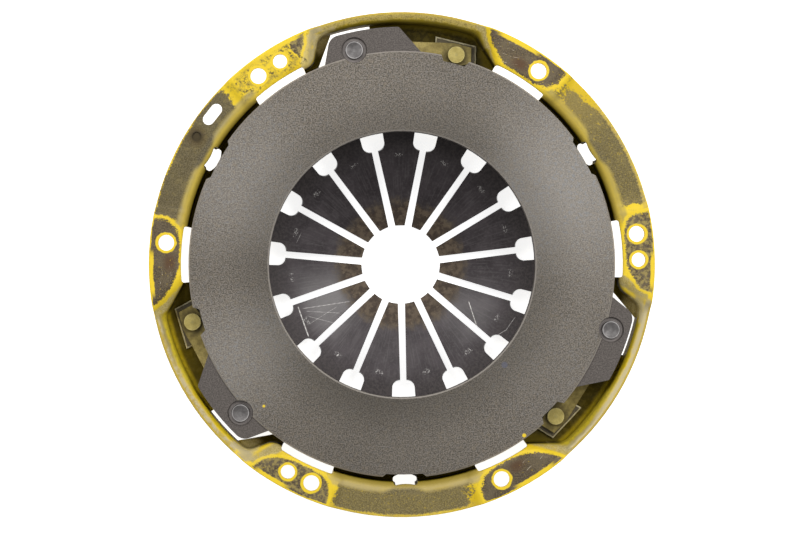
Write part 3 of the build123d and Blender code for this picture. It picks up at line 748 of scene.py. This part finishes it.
def cover_paint():
    """Yellow paint worn to steel on the pads and olive on the bridges, painted highlights on bends, grime
    and painted shade inside.
    """
    p = Paint("cover_paint").place()
    at = CoverPlace(p)
    pads = PadWear(p, at)
    olive = bridge_mask(p, at)
    colour = dusty_paint(p, at, pads)
    colour = lug_rims(p, at, colour)
    colour = bridge_bends(p, at, colour)
    colour = pad_slopes(p, at, colour)
    colour = bridge_rims(p, at, colour)
    colour = p.over(colour, worn_bridge(p, at), olive, 0.95)
    colour = worn_pads(p, at, pads, colour)

    inner = p.most(p.step(at.out, -0.1, -0.45), p.step(at.up, 0.55, 0.8))
    depth = p.plus(p.z, p.times(at.ragged, 0.4), p.times(at.top_lug, -2.2))
    below = grime_and_shade_mask(p, at, inner, depth)
    # Grime and painted shade on the inner faces below the bends and in the pockets
    colour = p.over(colour, grime_and_shade_tone(p, at, depth), below, 0.95)
    colour = toe_ends(p, at, inner, colour)
    # Bare lower edge of the wall where it was cut
    cut = p.times(p.step(p.r, 137.8, 138.0), p.step(p.z, -12.6, -13.0))
    cut = p.times(cut, p.step(at.out, 0.5, 0.0), p.step(at.up, -0.5, 0.0))
    colour = p.over(colour, CUT_EDGE, cut, 0.9)

    metal = p.most(pads.bare, p.times(olive, 0.5), p.times(cut, 0.8))
    roughness = p.plus(p.blend(metal, 0.4, 0.5), p.times(at.grain, 0.14), p.times(below, 0.2))
    height = p.plus(p.times(metal, -0.35), p.times(at.grain, 0.5), p.times(at.fine, 0.45))
    p.set("Base Color", colour)
    p.set("Metallic", p.times(metal, 0.4))
    p.set("Roughness", roughness)
    p.set("Specular IOR Level", p.blend(below, 0.28, 0.08))
    p.bump(height, 0.14, 0.6)
    return p.material


# Pressure plate


# Painted sheen and painted shade round the plate, where the lamps' reflections fall on the turned face: an
# angle, a width and an amount
IRON_PAINTED_SHEEN_PEAKS = ((24.0, 42.0, 0.62), (150.0, 34.0, 0.34), (209.0, 26.0, 0.36), (325.0, 30.0, 0.1))
IRON_PAINTED_SHADE_PEAKS = ((255.0, 60.0, 0.3), (180.0, 16.0, 0.12), (320.0, 50.0, 0.14), (70.0, 34.0, 0.14))

# Small spots on the plate: a radius, an angle and a size
PAINT_SPOT_ONE = (112.3, 224.6, 1.0)
PAINT_SPOT_TWO = (119.4, 304.4, 1.4)
BLUE_SPOT = (81.5, 314.4, 2.2)


def swell(p, peaks):
    """Slow rise and fall round the part: the sum of soft peaks."""
    total = 0.0
    for angle, width, amount in peaks:
        away = p.math("ABSOLUTE", p.less(p.wrap(p.plus(p.a, 180.0 - angle), 360.0), 180.0))
        total = p.plus(total, p.times(p.step(away, width, 0.0), amount))
    return total


def near_spot(p, radius, angle, size):
    """1 inside a small round spot."""
    return p.step(p.distance(p.x, p.y, polar(radius, angle)), size, 0.6 * size)


def rivet_distance(p, radius, angle):
    """Distance to the nearest of the three rivets at a radius and an angle."""
    turn = p.wrap(p.plus(p.a, SECTOR_STEP - angle + 60.0), SECTOR_STEP)
    return p.distance(*p.turned(p.less(turn, 60.0)), (radius, 0.0))


def machined_iron(p, fine, grain):
    """Sandy turned face with a painted sheen and painted shade round it, darker towards the bore, with two
    spots of paint on it.
    """
    cloud = p.noise(18.0, 3.0, 0.55)
    tone = p.mix(p.step(fine, 0.36, 0.64), *IRON)
    tone = p.over(tone, IRON_GRAIN, p.step(grain, 0.5, 0.66), 0.3)
    tone = p.over(tone, IRON_CLOUD, p.step(cloud, 0.35, 0.65), 0.1)
    turned = p.noise(1.4, 3.0, 0.7, p.vector(p.r, p.times(p.a, 0.05), 0.0))
    sheen = p.times(swell(p, IRON_PAINTED_SHEEN_PEAKS), p.blend(p.step(turned, 0.3, 0.7), 0.92, 1.06))
    tone = p.over(tone, IRON_PAINTED_SHEEN, sheen, 0.5)
    # Bluish grains, stronger where the sheen is painted
    bluish = p.times(p.grains(1.9, 3.0, 0.7, 0.5, 0.66), p.plus(p.times(sheen, 0.5), 0.1))
    tone = p.mix(bluish, tone, IRON_BLUISH)
    tone = p.over(tone, IRON_WARM, p.grains(2.3, 3.0, 0.7, 0.54, 0.68), 0.22)
    # Painted shade at the dark peaks round the plate, and darker towards the bore
    dark = p.plus(swell(p, IRON_PAINTED_SHADE_PEAKS), p.times(p.step(p.r, 106.0, 74.0), 0.4))
    tone = p.mix(dark, tone, IRON_DARK)
    paint = p.most(p.times(near_spot(p, *PAINT_SPOT_ONE), 0.9), near_spot(p, *PAINT_SPOT_TWO))
    tone = p.mix(paint, tone, YELLOW)
    tone = p.over(tone, IRON_BLUE_SPOT, near_spot(p, *BLUE_SPOT), 0.5)
    return p.over(tone, IRON_PIT, p.grains(1.2, 1.0, 0.5, 0.735, 0.76), 0.6)


def friction_iron():
    """Grey iron, machined and sandy on its face, rougher and darker where it is cast."""
    p = Paint("friction_iron").place()
    fine = p.noise(0.75, 2.0, 0.7)
    grain = p.noise(1.6, 3.0, 0.7)
    face = p.step(p.z, -5.75, -5.4)
    cast = p.mix(p.step(fine, 0.36, 0.64), *CAST)
    cast = p.over(cast, CAST_GRAIN, p.step(grain, 0.45, 0.62), 0.35)
    # Painted light on the floors of the counterbores round the rivet heads
    counterbore = p.band(rivet_distance(p, *PLATE_RIVET), 5.2, 6.7, 0.15)
    cast = p.over(cast, COUNTERBORE_LIGHT, counterbore, 0.7)
    colour = p.mix(face, cast, machined_iron(p, fine, grain))
    # Painted highlight on the edges of the ring, outside and round the bore
    ring_edge = p.most(p.step(p.r, 120.3, 120.6), p.step(p.r, 76.6, 76.3))
    ring_edge = p.times(p.step(p.z, -6.4, -5.9), ring_edge)
    colour = p.over(colour, IRON_EDGE_HIGHLIGHT, ring_edge, 0.6)
    p.set("Base Color", colour)
    p.set("Metallic", 0.35)
    p.set("Roughness", p.plus(p.blend(face, 0.6, 0.48), p.times(grain, 0.14)))
    p.bump(p.plus(p.times(fine, 0.6), grain), 0.05, 0.6)
    return p.material


# Spring


# Painted highlight round the spring: an angle, a width and an amount
SPRING_HIGHLIGHT_PEAKS = ((206.0, 34.0, 0.7), (325.0, 34.0, 0.36), (262.0, 40.0, 0.08))
HEAT_LIMIT = 40.0

# Scratches on the fingers: two ends in plan, width and strength
SPRING_SCRATCHES = (
    ((39.0, -22.4), (43.7, -38.3), 0.3, 0.8),
    ((65.2, -31.8), (60.0, -39.0), 0.25, 0.4),
    ((60.0, -39.0), (54.0, -42.5), 0.25, 0.4),
    ((-59.9, -23.5), (-54.3, -40.5), 0.45, 0.7),
    ((-57.0, -24.4), (-30.1, -20.9), 0.22, 0.5),
    ((-55.0, -26.0), (-36.0, -27.5), 0.18, 0.4),
    ((-54.0, -29.0), (-40.0, -33.0), 0.18, 0.4),
    ((-53.0, -33.0), (-38.0, -24.0), 0.16, 0.35),
    ((-60.0, 14.0), (-57.5, 19.0), 0.22, 0.4),
)


def scratch_line(p, begin, finish, width):
    """1 on a thin straight line between two points in plan."""
    length = math.hypot(finish[0] - begin[0], finish[1] - begin[1])
    tx, ty = (finish[0] - begin[0]) / length, (finish[1] - begin[1]) / length
    dx, dy = p.less(p.x, begin[0]), p.less(p.y, begin[1])
    along = p.plus(p.times(dx, tx), p.times(dy, ty))
    across = p.math("ABSOLUTE", p.less(p.times(dx, ty), p.times(dy, tx)))
    return p.times(p.step(across, width, 0.3 * width), p.band(along, 0.0, length, 0.8))


def heat_tone(p, streak):
    """Brown of the heat band, with reddish and sandy grains."""
    tone = p.mix(p.step(streak, 0.4, 0.6), *HEAT_BAND)
    tone = p.over(tone, HEAT_RED, p.grains(1.9, 3.0, 0.7, 0.56, 0.68), 0.7)
    tone = p.over(tone, HEAT_SANDY, p.grains(1.5, 3.0, 0.7, 0.6, 0.7), 0.6)
    return p.over(tone, HEAT_OUTER, p.step(p.r, 33.0, 38.0), 0.35)


def finger_nicks(p, cloud, streak):
    """Small bright nicks in a ring, one group near the middle of each finger."""
    half = 180.0 / FINGERS
    turn = p.less(p.wrap(p.plus(p.a, half - FINGER_MIDDLE), 2 * half), half)
    nick = p.band(p.plus(p.r, p.times(streak, 3.0)), 64.0, 66.0, 0.7)
    nick = p.times(nick, p.band(p.plus(turn, p.times(cloud, 5.0)), 0.6, 4.6, 0.8))
    return p.times(nick, p.grains(0.9, 3.0, 0.7, 0.52, 0.6), 0.55)


def spring_steel():
    """Blackened steel with a brown heat band at the tips, rubbed streaks and scratches, a painted highlight
    on two sides and painted shade towards the rim.
    """
    p = Paint("spring_steel").place()
    cloud = p.noise(11.0, 3.0, 0.55)
    grain = p.noise(1.4, 3.0, 0.65)
    streak = p.noise(3.5, 3.0, 0.6)
    rubbed = p.noise(1.2, 2.0, 0.5, p.vector(p.times(p.a, 1.1), p.times(p.r, 0.08), 0.0))
    colour = p.mix(p.step(cloud, 0.3, 0.7), *SPRING)
    colour = p.over(colour, SPRING_GRAIN, p.step(grain, 0.48, 0.66), 0.35)
    colour = p.over(colour, SPRING_STREAK, p.step(rubbed, 0.5, 0.64), 0.25)
    # Painted shade towards the rim
    colour = p.mix(p.step(p.r, 58.0, 76.0), colour, p.mix(p.step(grain, 0.4, 0.6), *SPRING_OUTER_SHADE))
    # Painted highlight across the middle of the fingers
    bright = p.times(swell(p, SPRING_HIGHLIGHT_PEAKS), p.band(p.r, 36.0, 60.0, 7.0), 0.42)
    colour = p.mix(bright, colour, SPRING_HIGHLIGHT)

    limit = p.plus(HEAT_LIMIT, p.times(p.less(cloud, 0.5), 10.0), p.times(p.less(streak, 0.5), 9.0))
    heat = p.step(p.math("DIVIDE", p.less(limit, p.r), 7.0), 0.0, 1.0)
    colour = p.over(colour, heat_tone(p, streak), heat, 0.85)
    nick = finger_nicks(p, cloud, streak)
    scratches = 0.0
    for begin, finish, width, amount in SPRING_SCRATCHES:
        scratches = p.plus(scratches, p.times(scratch_line(p, begin, finish, width), amount))
    uneven = p.blend(p.grains(1.6, 3.0, 0.7, 0.4, 0.56), 0.4, 1.0)
    colour = p.mix(p.most(nick, p.times(scratches, uneven)), colour, SPRING_SCRATCH)
    p.set("Base Color", colour)
    p.set("Metallic", 0.6)
    p.set("Roughness", p.plus(0.32, p.times(grain, 0.22), p.times(heat, 0.12)))
    p.bump(p.plus(grain, p.times(nick, -1.0)), 0.03, 0.5)
    return p.material


# Plated and plain small parts


def plated(name, light, dark, roughness, metallic):
    """Plated or plain small steel part, mottled, with fine marks."""
    p = Paint(name).place()
    p.cloud = p.noise(4.0, 3.0, 0.55)
    p.grain = p.noise(0.8, 3.0, 0.65)
    colour = p.mix(p.step(p.cloud, 0.3, 0.7), dark, light)
    p.colour = p.over(colour, tuple(0.6 * c for c in dark), p.step(p.grain, 0.42, 0.66), 0.3)
    p.set("Base Color", p.colour)
    p.set("Metallic", metallic)
    p.set("Roughness", p.plus(roughness, p.times(p.grain, 0.18)))
    p.bump(p.grain, 0.03, 0.5)
    return p


def strap_zinc():
    """Olive zinc plating of the leaves, darker near the cover rivet, and spacers in painted shade with a
    painted highlight on their chamfer.
    """
    p = plated("strap_zinc", srgb(158, 142, 80), srgb(120, 105, 54), 0.36, 0.6)
    patchy = p.step(p.cloud, 0.35, 0.6)
    # Leaves darker near the cover rivet
    away = p.plus(rivet_distance(p, *COVER_RIVET), p.times(p.cloud, 5.0))
    leaf = p.over(p.colour, STRAP_DARK_NEAR_RIVET, p.step(away, 12.5, 7.5), 0.75)
    spacer = p.step(p.z, -22.9, -23.08)
    # Spacers painted dark: painted shade
    colour = p.over(leaf, p.mix(p.step(p.grain, 0.4, 0.6), *SPACER_SHADED), spacer, 0.92)
    # Painted highlight on the chamfer of each spacer
    bevel = p.band(p.z, -23.92, -23.12, 0.04)
    colour = p.over(colour, SPACER_BEVEL_HIGHLIGHT, bevel, p.blend(patchy, 0.6, 0.95))
    p.set("Base Color", colour)
    p.set("Metallic", p.blend(spacer, 0.5, 0.05))
    return p.material


def rivet_head(p, rivet, ring, tone):
    """Thin ring of painted highlight on the heads of three rivets, and a dull spot in their middle."""
    away = rivet_distance(p, *rivet)
    # Painted highlight in a ring at the rim of each head
    bright = p.times(p.band(away, *ring, 0.12), p.blend(p.step(p.cloud, 0.35, 0.6), 0.55, 1.0))
    middle = p.times(p.step(away, 1.3, 0.4), 0.4)
    colour = p.mix(middle, p.colour, tuple(0.45 * c for c in tone))
    p.set("Base Color", p.over(colour, tone, bright, 0.85))
    return p.material


# Diaphragm spring


def slot_half(x):
    """Half width of a slot at a distance from the main axis."""
    start = TIP_R - 2 * SLOT_HALF_TIP
    share = (x - start) / (WINDOW_ROOT + ROOT_CORNER - start)
    return SLOT_HALF_TIP + (SLOT_HALF_ROOT - SLOT_HALF_TIP) * share


def window_outline():
    """Points of half a slot and its window, from the finger tip to the middle of the rim."""
    points = []
    for k in range(SLOT_STEPS + 1):
        x = TIP_R + (WINDOW_ROOT - TIP_R) * k / SLOT_STEPS
        y = slot_half(x)
        points.append((math.sqrt(x * x - y * y) if k == 0 else x, y))
    slant = math.atan2(WINDOW_HALF_RIM - WINDOW_HALF_ROOT, WINDOW_RIM - WINDOW_ROOT)
    quarter = math.pi / 2
    # Corner at the root
    cx = WINDOW_ROOT + ROOT_CORNER
    cy = WINDOW_HALF_ROOT - ROOT_CORNER * (1 / math.cos(slant) - math.tan(slant))
    for k in range(1, ROOT_STEPS + 1):
        turn = (quarter + slant) * k / ROOT_STEPS
        points.append((cx - ROOT_CORNER * math.cos(turn), cy + ROOT_CORNER * math.sin(turn)))
    # Straight side and the corner at the rim
    cx = WINDOW_RIM - RIM_CORNER
    cy = WINDOW_HALF_RIM - RIM_CORNER * (1 / math.cos(slant) + math.tan(slant))
    side = (cx - RIM_CORNER * math.sin(slant), cy + RIM_CORNER * math.cos(slant))
    last = points[-1]
    for k in range(1, SIDE_STEPS):
        share = k / SIDE_STEPS
        points.append((last[0] + (side[0] - last[0]) * share, last[1] + (side[1] - last[1]) * share))
    for k in range(RIM_STEPS + 1):
        turn = slant + (quarter - slant) * k / RIM_STEPS
        points.append((cx + RIM_CORNER * math.sin(turn), cy + RIM_CORNER * math.cos(turn)))
    for k in range(1, MIDDLE_STEPS + 1):
        points.append((WINDOW_RIM, cy * (1 - k / MIDDLE_STEPS)))
    return points


def smooth_step(value):
    return value * value * (3 - 2 * value)


def spring_height(radius):
    return FULCRUM_Z + SPRING_SLOPE * (radius - FULCRUM_R)


def spring_rows():
    """Rows across half a finger: radius and angle at the slot, and radius at the middle."""
    outline = window_outline()
    rows = []
    disc_start = WINDOW_RIM + DISC_START
    for index, (x, y) in enumerate(outline):
        radius = math.hypot(x, y)
        middle_radius = radius
        if x > WINDOW_ROOT:
            share = (index - SLOT_STEPS) / (len(outline) - 1 - SLOT_STEPS)
            middle_radius = WINDOW_ROOT + (disc_start - WINDOW_ROOT) * share
        rows.append((radius, math.degrees(math.atan2(y, x)), middle_radius))
    for k in range(1, DISC_ROWS + 1):
        share = k / DISC_ROWS
        radius = WINDOW_RIM + (SPRING_R - WINDOW_RIM) * share
        rows.append((radius, 0.0, disc_start + (SPRING_R - disc_start) * share))
    return rows


def diaphragm_mesh():
    """Middle surface of the spring, in rows from each slot to the middle of its finger."""
    rows = spring_rows()
    half = 180.0 / FINGERS
    mesh = bmesh.new()
    for finger in range(FINGERS):
        slot = FINGER_PHASE + 2 * half * finger
        for side in (1, -1):
            grid = []
            for radius, angle, middle_radius in rows:
                line = []
                for column in range(FINGER_COLUMNS):
                    share = column / (FINGER_COLUMNS - 1)
                    r = radius + (middle_radius - radius) * smooth_step(share)
                    x, y = polar(r, slot + side * (angle + (half - angle) * share))
                    line.append(mesh.verts.new((x * MM, y * MM, spring_height(r) * MM)))
                grid.append(line)
            for low_row, high_row in zip(grid, grid[1:]):
                for k in range(FINGER_COLUMNS - 1):
                    corners = [low_row[k], low_row[k + 1], high_row[k + 1], high_row[k]]
                    mesh.faces.new(corners if side < 0 else corners[::-1])
    bmesh.ops.remove_doubles(mesh, verts=mesh.verts, dist=0.02 * MM)
    bmesh.ops.recalc_face_normals(mesh, faces=mesh.faces)
    return mesh


def linked(name, data):
    thing = bpy.data.objects.new(name, data)
    bpy.context.scene.collection.objects.link(thing)
    return thing


def new_object(name, mesh, material):
    data = bpy.data.meshes.new(name)
    mesh.to_mesh(data)
    mesh.free()
    data.materials.append(material)
    return linked(name, data)


def round_edges(thing, width, harden):
    """Small rounding of the sharp edges."""
    edge = thing.modifiers.new("edge", "BEVEL")
    edge.width = width * MM
    edge.segments = 2
    edge.limit_method = "ANGLE"
    edge.angle_limit = math.radians(50)
    edge.harden_normals = harden


def diaphragm(material):
    """The spring as one sheet of steel, given its thickness and small edge rounding."""
    mesh = diaphragm_mesh()
    if sum(face.normal.z for face in mesh.faces) < 0:
        bmesh.ops.reverse_faces(mesh, faces=mesh.faces)
    thing = new_object("diaphragm_sheet", mesh, material)
    for polygon in thing.data.polygons:
        polygon.use_smooth = True
    solid = thing.modifiers.new("thickness", "SOLIDIFY")
    solid.thickness = SPRING_THICKNESS * MM
    solid.offset = 0.0
    solid.use_even_offset = True
    round_edges(thing, SPRING_EDGE, harden=True)
    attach(thing, "cover_body")
    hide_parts("diaphragm_spring")
    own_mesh(thing)


# Drive straps


def strap_outline(length):
    """Plan of a leaf, with X along it from the cover rivet."""
    start, end = -STRAP_END_REACH, length + STRAP_END_REACH
    return [
        (start, -STRAP_END_HALF),
        (start + STRAP_END_TAPER, -STRAP_HALF),
        (end - STRAP_END_TAPER, -STRAP_HALF),
        (end, -STRAP_END_HALF),
        (end, STRAP_END_HALF),
        (end - STRAP_END_TAPER, STRAP_HALF),
        (start + STRAP_END_TAPER, STRAP_HALF),
        (start, STRAP_END_HALF),
    ]


def strap_rise(x, length, rise):
    """Height of the S bend at a distance from the cover rivet."""
    run = length - 2 * STRAP_FLAT
    share = min(1.0, max(0.0, (x - STRAP_FLAT) / run))
    radius = (rise / 2 + (run / 2) ** 2 / (rise / 2)) / 2
    if share < 0.5:
        return radius - math.sqrt(radius**2 - (share * run) ** 2)
    return rise - (radius - math.sqrt(radius**2 - ((1 - share) * run) ** 2))


def leaf_hole(x):
    """Points round a rivet hole of a leaf."""
    step = 2 * math.pi / LEAF_HOLE_POINTS
    turns = [k * step for k in range(LEAF_HOLE_POINTS)]
    return [(x + LEAF_HOLE_R * math.cos(turn), LEAF_HOLE_R * math.sin(turn)) for turn in turns]


def leaf_mesh(length, top, matrix):
    """Closed leaf with its two holes, cut across so that it can bend."""
    mesh = bmesh.new()
    for loop in (strap_outline(length), leaf_hole(0.0), leaf_hole(length)):
        verts = [mesh.verts.new((x, y, 0)) for x, y in loop]
        for a, b in zip(verts, verts[1:] + verts[:1]):
            mesh.edges.new((a, b))
    bmesh.ops.triangle_fill(mesh, use_beauty=True, edges=mesh.edges[:])
    for k in range(LEAF_SLICES + 1):
        x = STRAP_FLAT + (length - 2 * STRAP_FLAT) * k / LEAF_SLICES
        geometry = mesh.verts[:] + mesh.edges[:] + mesh.faces[:]
        bmesh.ops.bisect_plane(mesh, geom=geometry, plane_co=(x, 0, 0), plane_no=(1, 0, 0), dist=1e-5)
    for face in mesh.faces:
        if face.normal.z < 0:
            face.normal_flip()
    extruded = bmesh.ops.extrude_face_region(mesh, geom=mesh.faces[:])
    lower = {item for item in extruded["geom"] if isinstance(item, bmesh.types.BMVert)}
    rise = PLATE_BACK - LEAF_TOP
    for vert in mesh.verts:
        drop = LEAF_THICKNESS if vert in lower else 0.0
        vert.co.z = top + strap_rise(vert.co.x, length, rise) - drop
    bmesh.ops.recalc_face_normals(mesh, faces=mesh.faces)
    bmesh.ops.transform(mesh, matrix=matrix @ Matrix.Scale(MM, 4), verts=mesh.verts)
    return mesh


def strap_matrix(number):
    """Frame at the cover rivet of a strap, with X to the plate rivet, and their distance."""
    turn = SECTOR_STEP * number
    start = Vector(polar(COVER_RIVET[0], COVER_RIVET[1] + turn))
    end = Vector(polar(PLATE_RIVET[0], PLATE_RIVET[1] + turn))
    angle = math.atan2(end.y - start.y, end.x - start.x)
    place = Matrix.Translation((start.x * MM, start.y * MM, 0)) @ Matrix.Rotation(angle, 4, "Z")
    return place, (end - start).length


def straps(material):
    """Three packs of three leaves, each bending between the cover and the plate."""
    for number in range(SECTORS):
        place, length = strap_matrix(number)
        for index, name in enumerate(("top", "middle", "bottom")):
            mesh = leaf_mesh(length, LEAF_TOP - index * LEAF_STEP, place)
            thing = new_object(f"strap_{number + 1}_sheet_{name}", mesh, material)
            round_edges(thing, LEAF_EDGE, harden=False)
            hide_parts(f"strap_{number + 1}_leaf_{name}")
            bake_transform(thing)


# Floor, lights and camera


def white_floor():
    """White floor that looks plain to the camera and keeps a soft shadow."""
    height = cad_box[0].z - FLOOR_GAP * MM
    mesh = bmesh.new()
    corners = ((-1, -1), (1, -1), (1, 1), (-1, 1))
    mesh.faces.new([mesh.verts.new((x * FLOOR_HALF, y * FLOOR_HALF, height)) for x, y in corners])
    p = Paint("floor_white")
    p.set("Base Color", (0.85, 0.85, 0.85, 1.0))
    p.set("Roughness", 0.9)
    p.set("Specular IOR Level", 0.0)
    rays = p.add("ShaderNodeLightPath").outputs
    seen = p.most(rays["Is Camera Ray"], rays["Is Glossy Ray"], rays["Is Transmission Ray"])
    p.set("Emission Color", (1.0, 1.0, 1.0, 1.0))
    p.set("Emission Strength", p.times(seen, FLOOR_GLOW))
    floor = new_object("floor", mesh, p.material)


def sky():
    """Even white light, at full strength where the camera sees it."""
    world = bpy.data.worlds.new("studio")
    bpy.context.scene.world = world
    world.use_nodes = True
    nodes, links = world.node_tree.nodes, world.node_tree.links
    background = nodes["Background"]
    background.inputs["Color"].default_value = (1.0, 1.0, 1.0, 1.0)
    path = nodes.new("ShaderNodeLightPath")
    strength = nodes.new("ShaderNodeMapRange")
    links.new(path.outputs["Is Camera Ray"], strength.inputs["Value"])
    strength.inputs["To Min"].default_value = WORLD_LIGHT
    strength.inputs["To Max"].default_value = 1.0
    links.new(strength.outputs["Result"], background.inputs["Strength"])


def lamps():
    """Three large soft lamps that look at the middle of the part."""
    for name, location, width, power in LAMPS:
        light = bpy.data.lights.new(name, "AREA")
        light.shape = "DISK"
        light.size = width
        light.energy = power
        lamp = linked(name, light)
        lamp.location = location
        lamp.rotation_mode = "QUATERNION"
        lamp.rotation_quaternion = (-Vector(location)).to_track_quat("-Z", "Y")


def camera():
    """Camera over the part, at the place and angle of the photograph."""
    right = Vector((*polar(1.0, PHOTO_TURN), 0.0))
    up = Vector((*polar(1.0, PHOTO_TURN + 90), 0.0))
    place = right * (CAMERA_RIGHT * MM) + up * (CAMERA_UP * MM) + Vector((0, 0, CAMERA_HEIGHT * MM))
    aim = right * (AIM_RIGHT * MM) + up * (AIM_UP * MM)
    back = (place - aim).normalized()
    across = up.cross(back).normalized()
    over = back.cross(across)
    data = bpy.data.cameras.new("camera")
    data.sensor_width = 36.0
    data.lens = CAMERA_LENS
    data.clip_start = 0.05
    data.clip_end = 50.0
    thing = linked("camera", data)
    rotation = Matrix((across, over, back)).transposed().to_4x4()
    thing.matrix_world = Matrix.Translation(place) @ rotation
    bpy.context.scene.camera = thing


def dress(names, material):
    """Gives CAD nodes a material in place of their own."""
    for name in names:
        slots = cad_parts[name].data.materials
        if len(slots) == 0:
            slots.append(material)
        for index in range(len(slots)):
            slots[index] = material


def of_straps(part):
    """Names of the three CAD nodes of one part of the straps."""
    return [f"strap_{number + 1}_{part}" for number in range(SECTORS)]


bpy.context.scene.view_settings.view_transform = "Standard"
camera()
white_floor()
sky()
lamps()

zinc = strap_zinc()
pale_zinc = plated("rivet_zinc", srgb(192, 176, 104), srgb(166, 150, 82), 0.38, 0.5)
# Cover rivet heads with a ring of painted highlight
pale_zinc = rivet_head(pale_zinc, COVER_RIVET, (4.45, 4.8), srgb(214, 202, 138))
steel = plated("rivet_steel", srgb(118, 115, 114), srgb(90, 87, 86), 0.36, 0.6)
# Plate rivet heads with a ring of painted highlight
steel = rivet_head(steel, PLATE_RIVET, (4.45, 4.85), srgb(186, 182, 180))
wire = plated("wire_steel", srgb(120, 118, 116), srgb(92, 90, 88), 0.38, 0.8).material
dress(["cover"], cover_paint())
dress(["pressure_plate"], friction_iron())
dress(["fulcrum_ring_plate_side", "fulcrum_ring_cover_side"], wire)
dress(["fulcrum_rivets"], steel)
dress(of_straps("spacer"), zinc)
dress(of_straps("cover_rivet"), pale_zinc)
dress(of_straps("plate_rivet"), steel)
diaphragm(spring_steel())
straps(zinc)
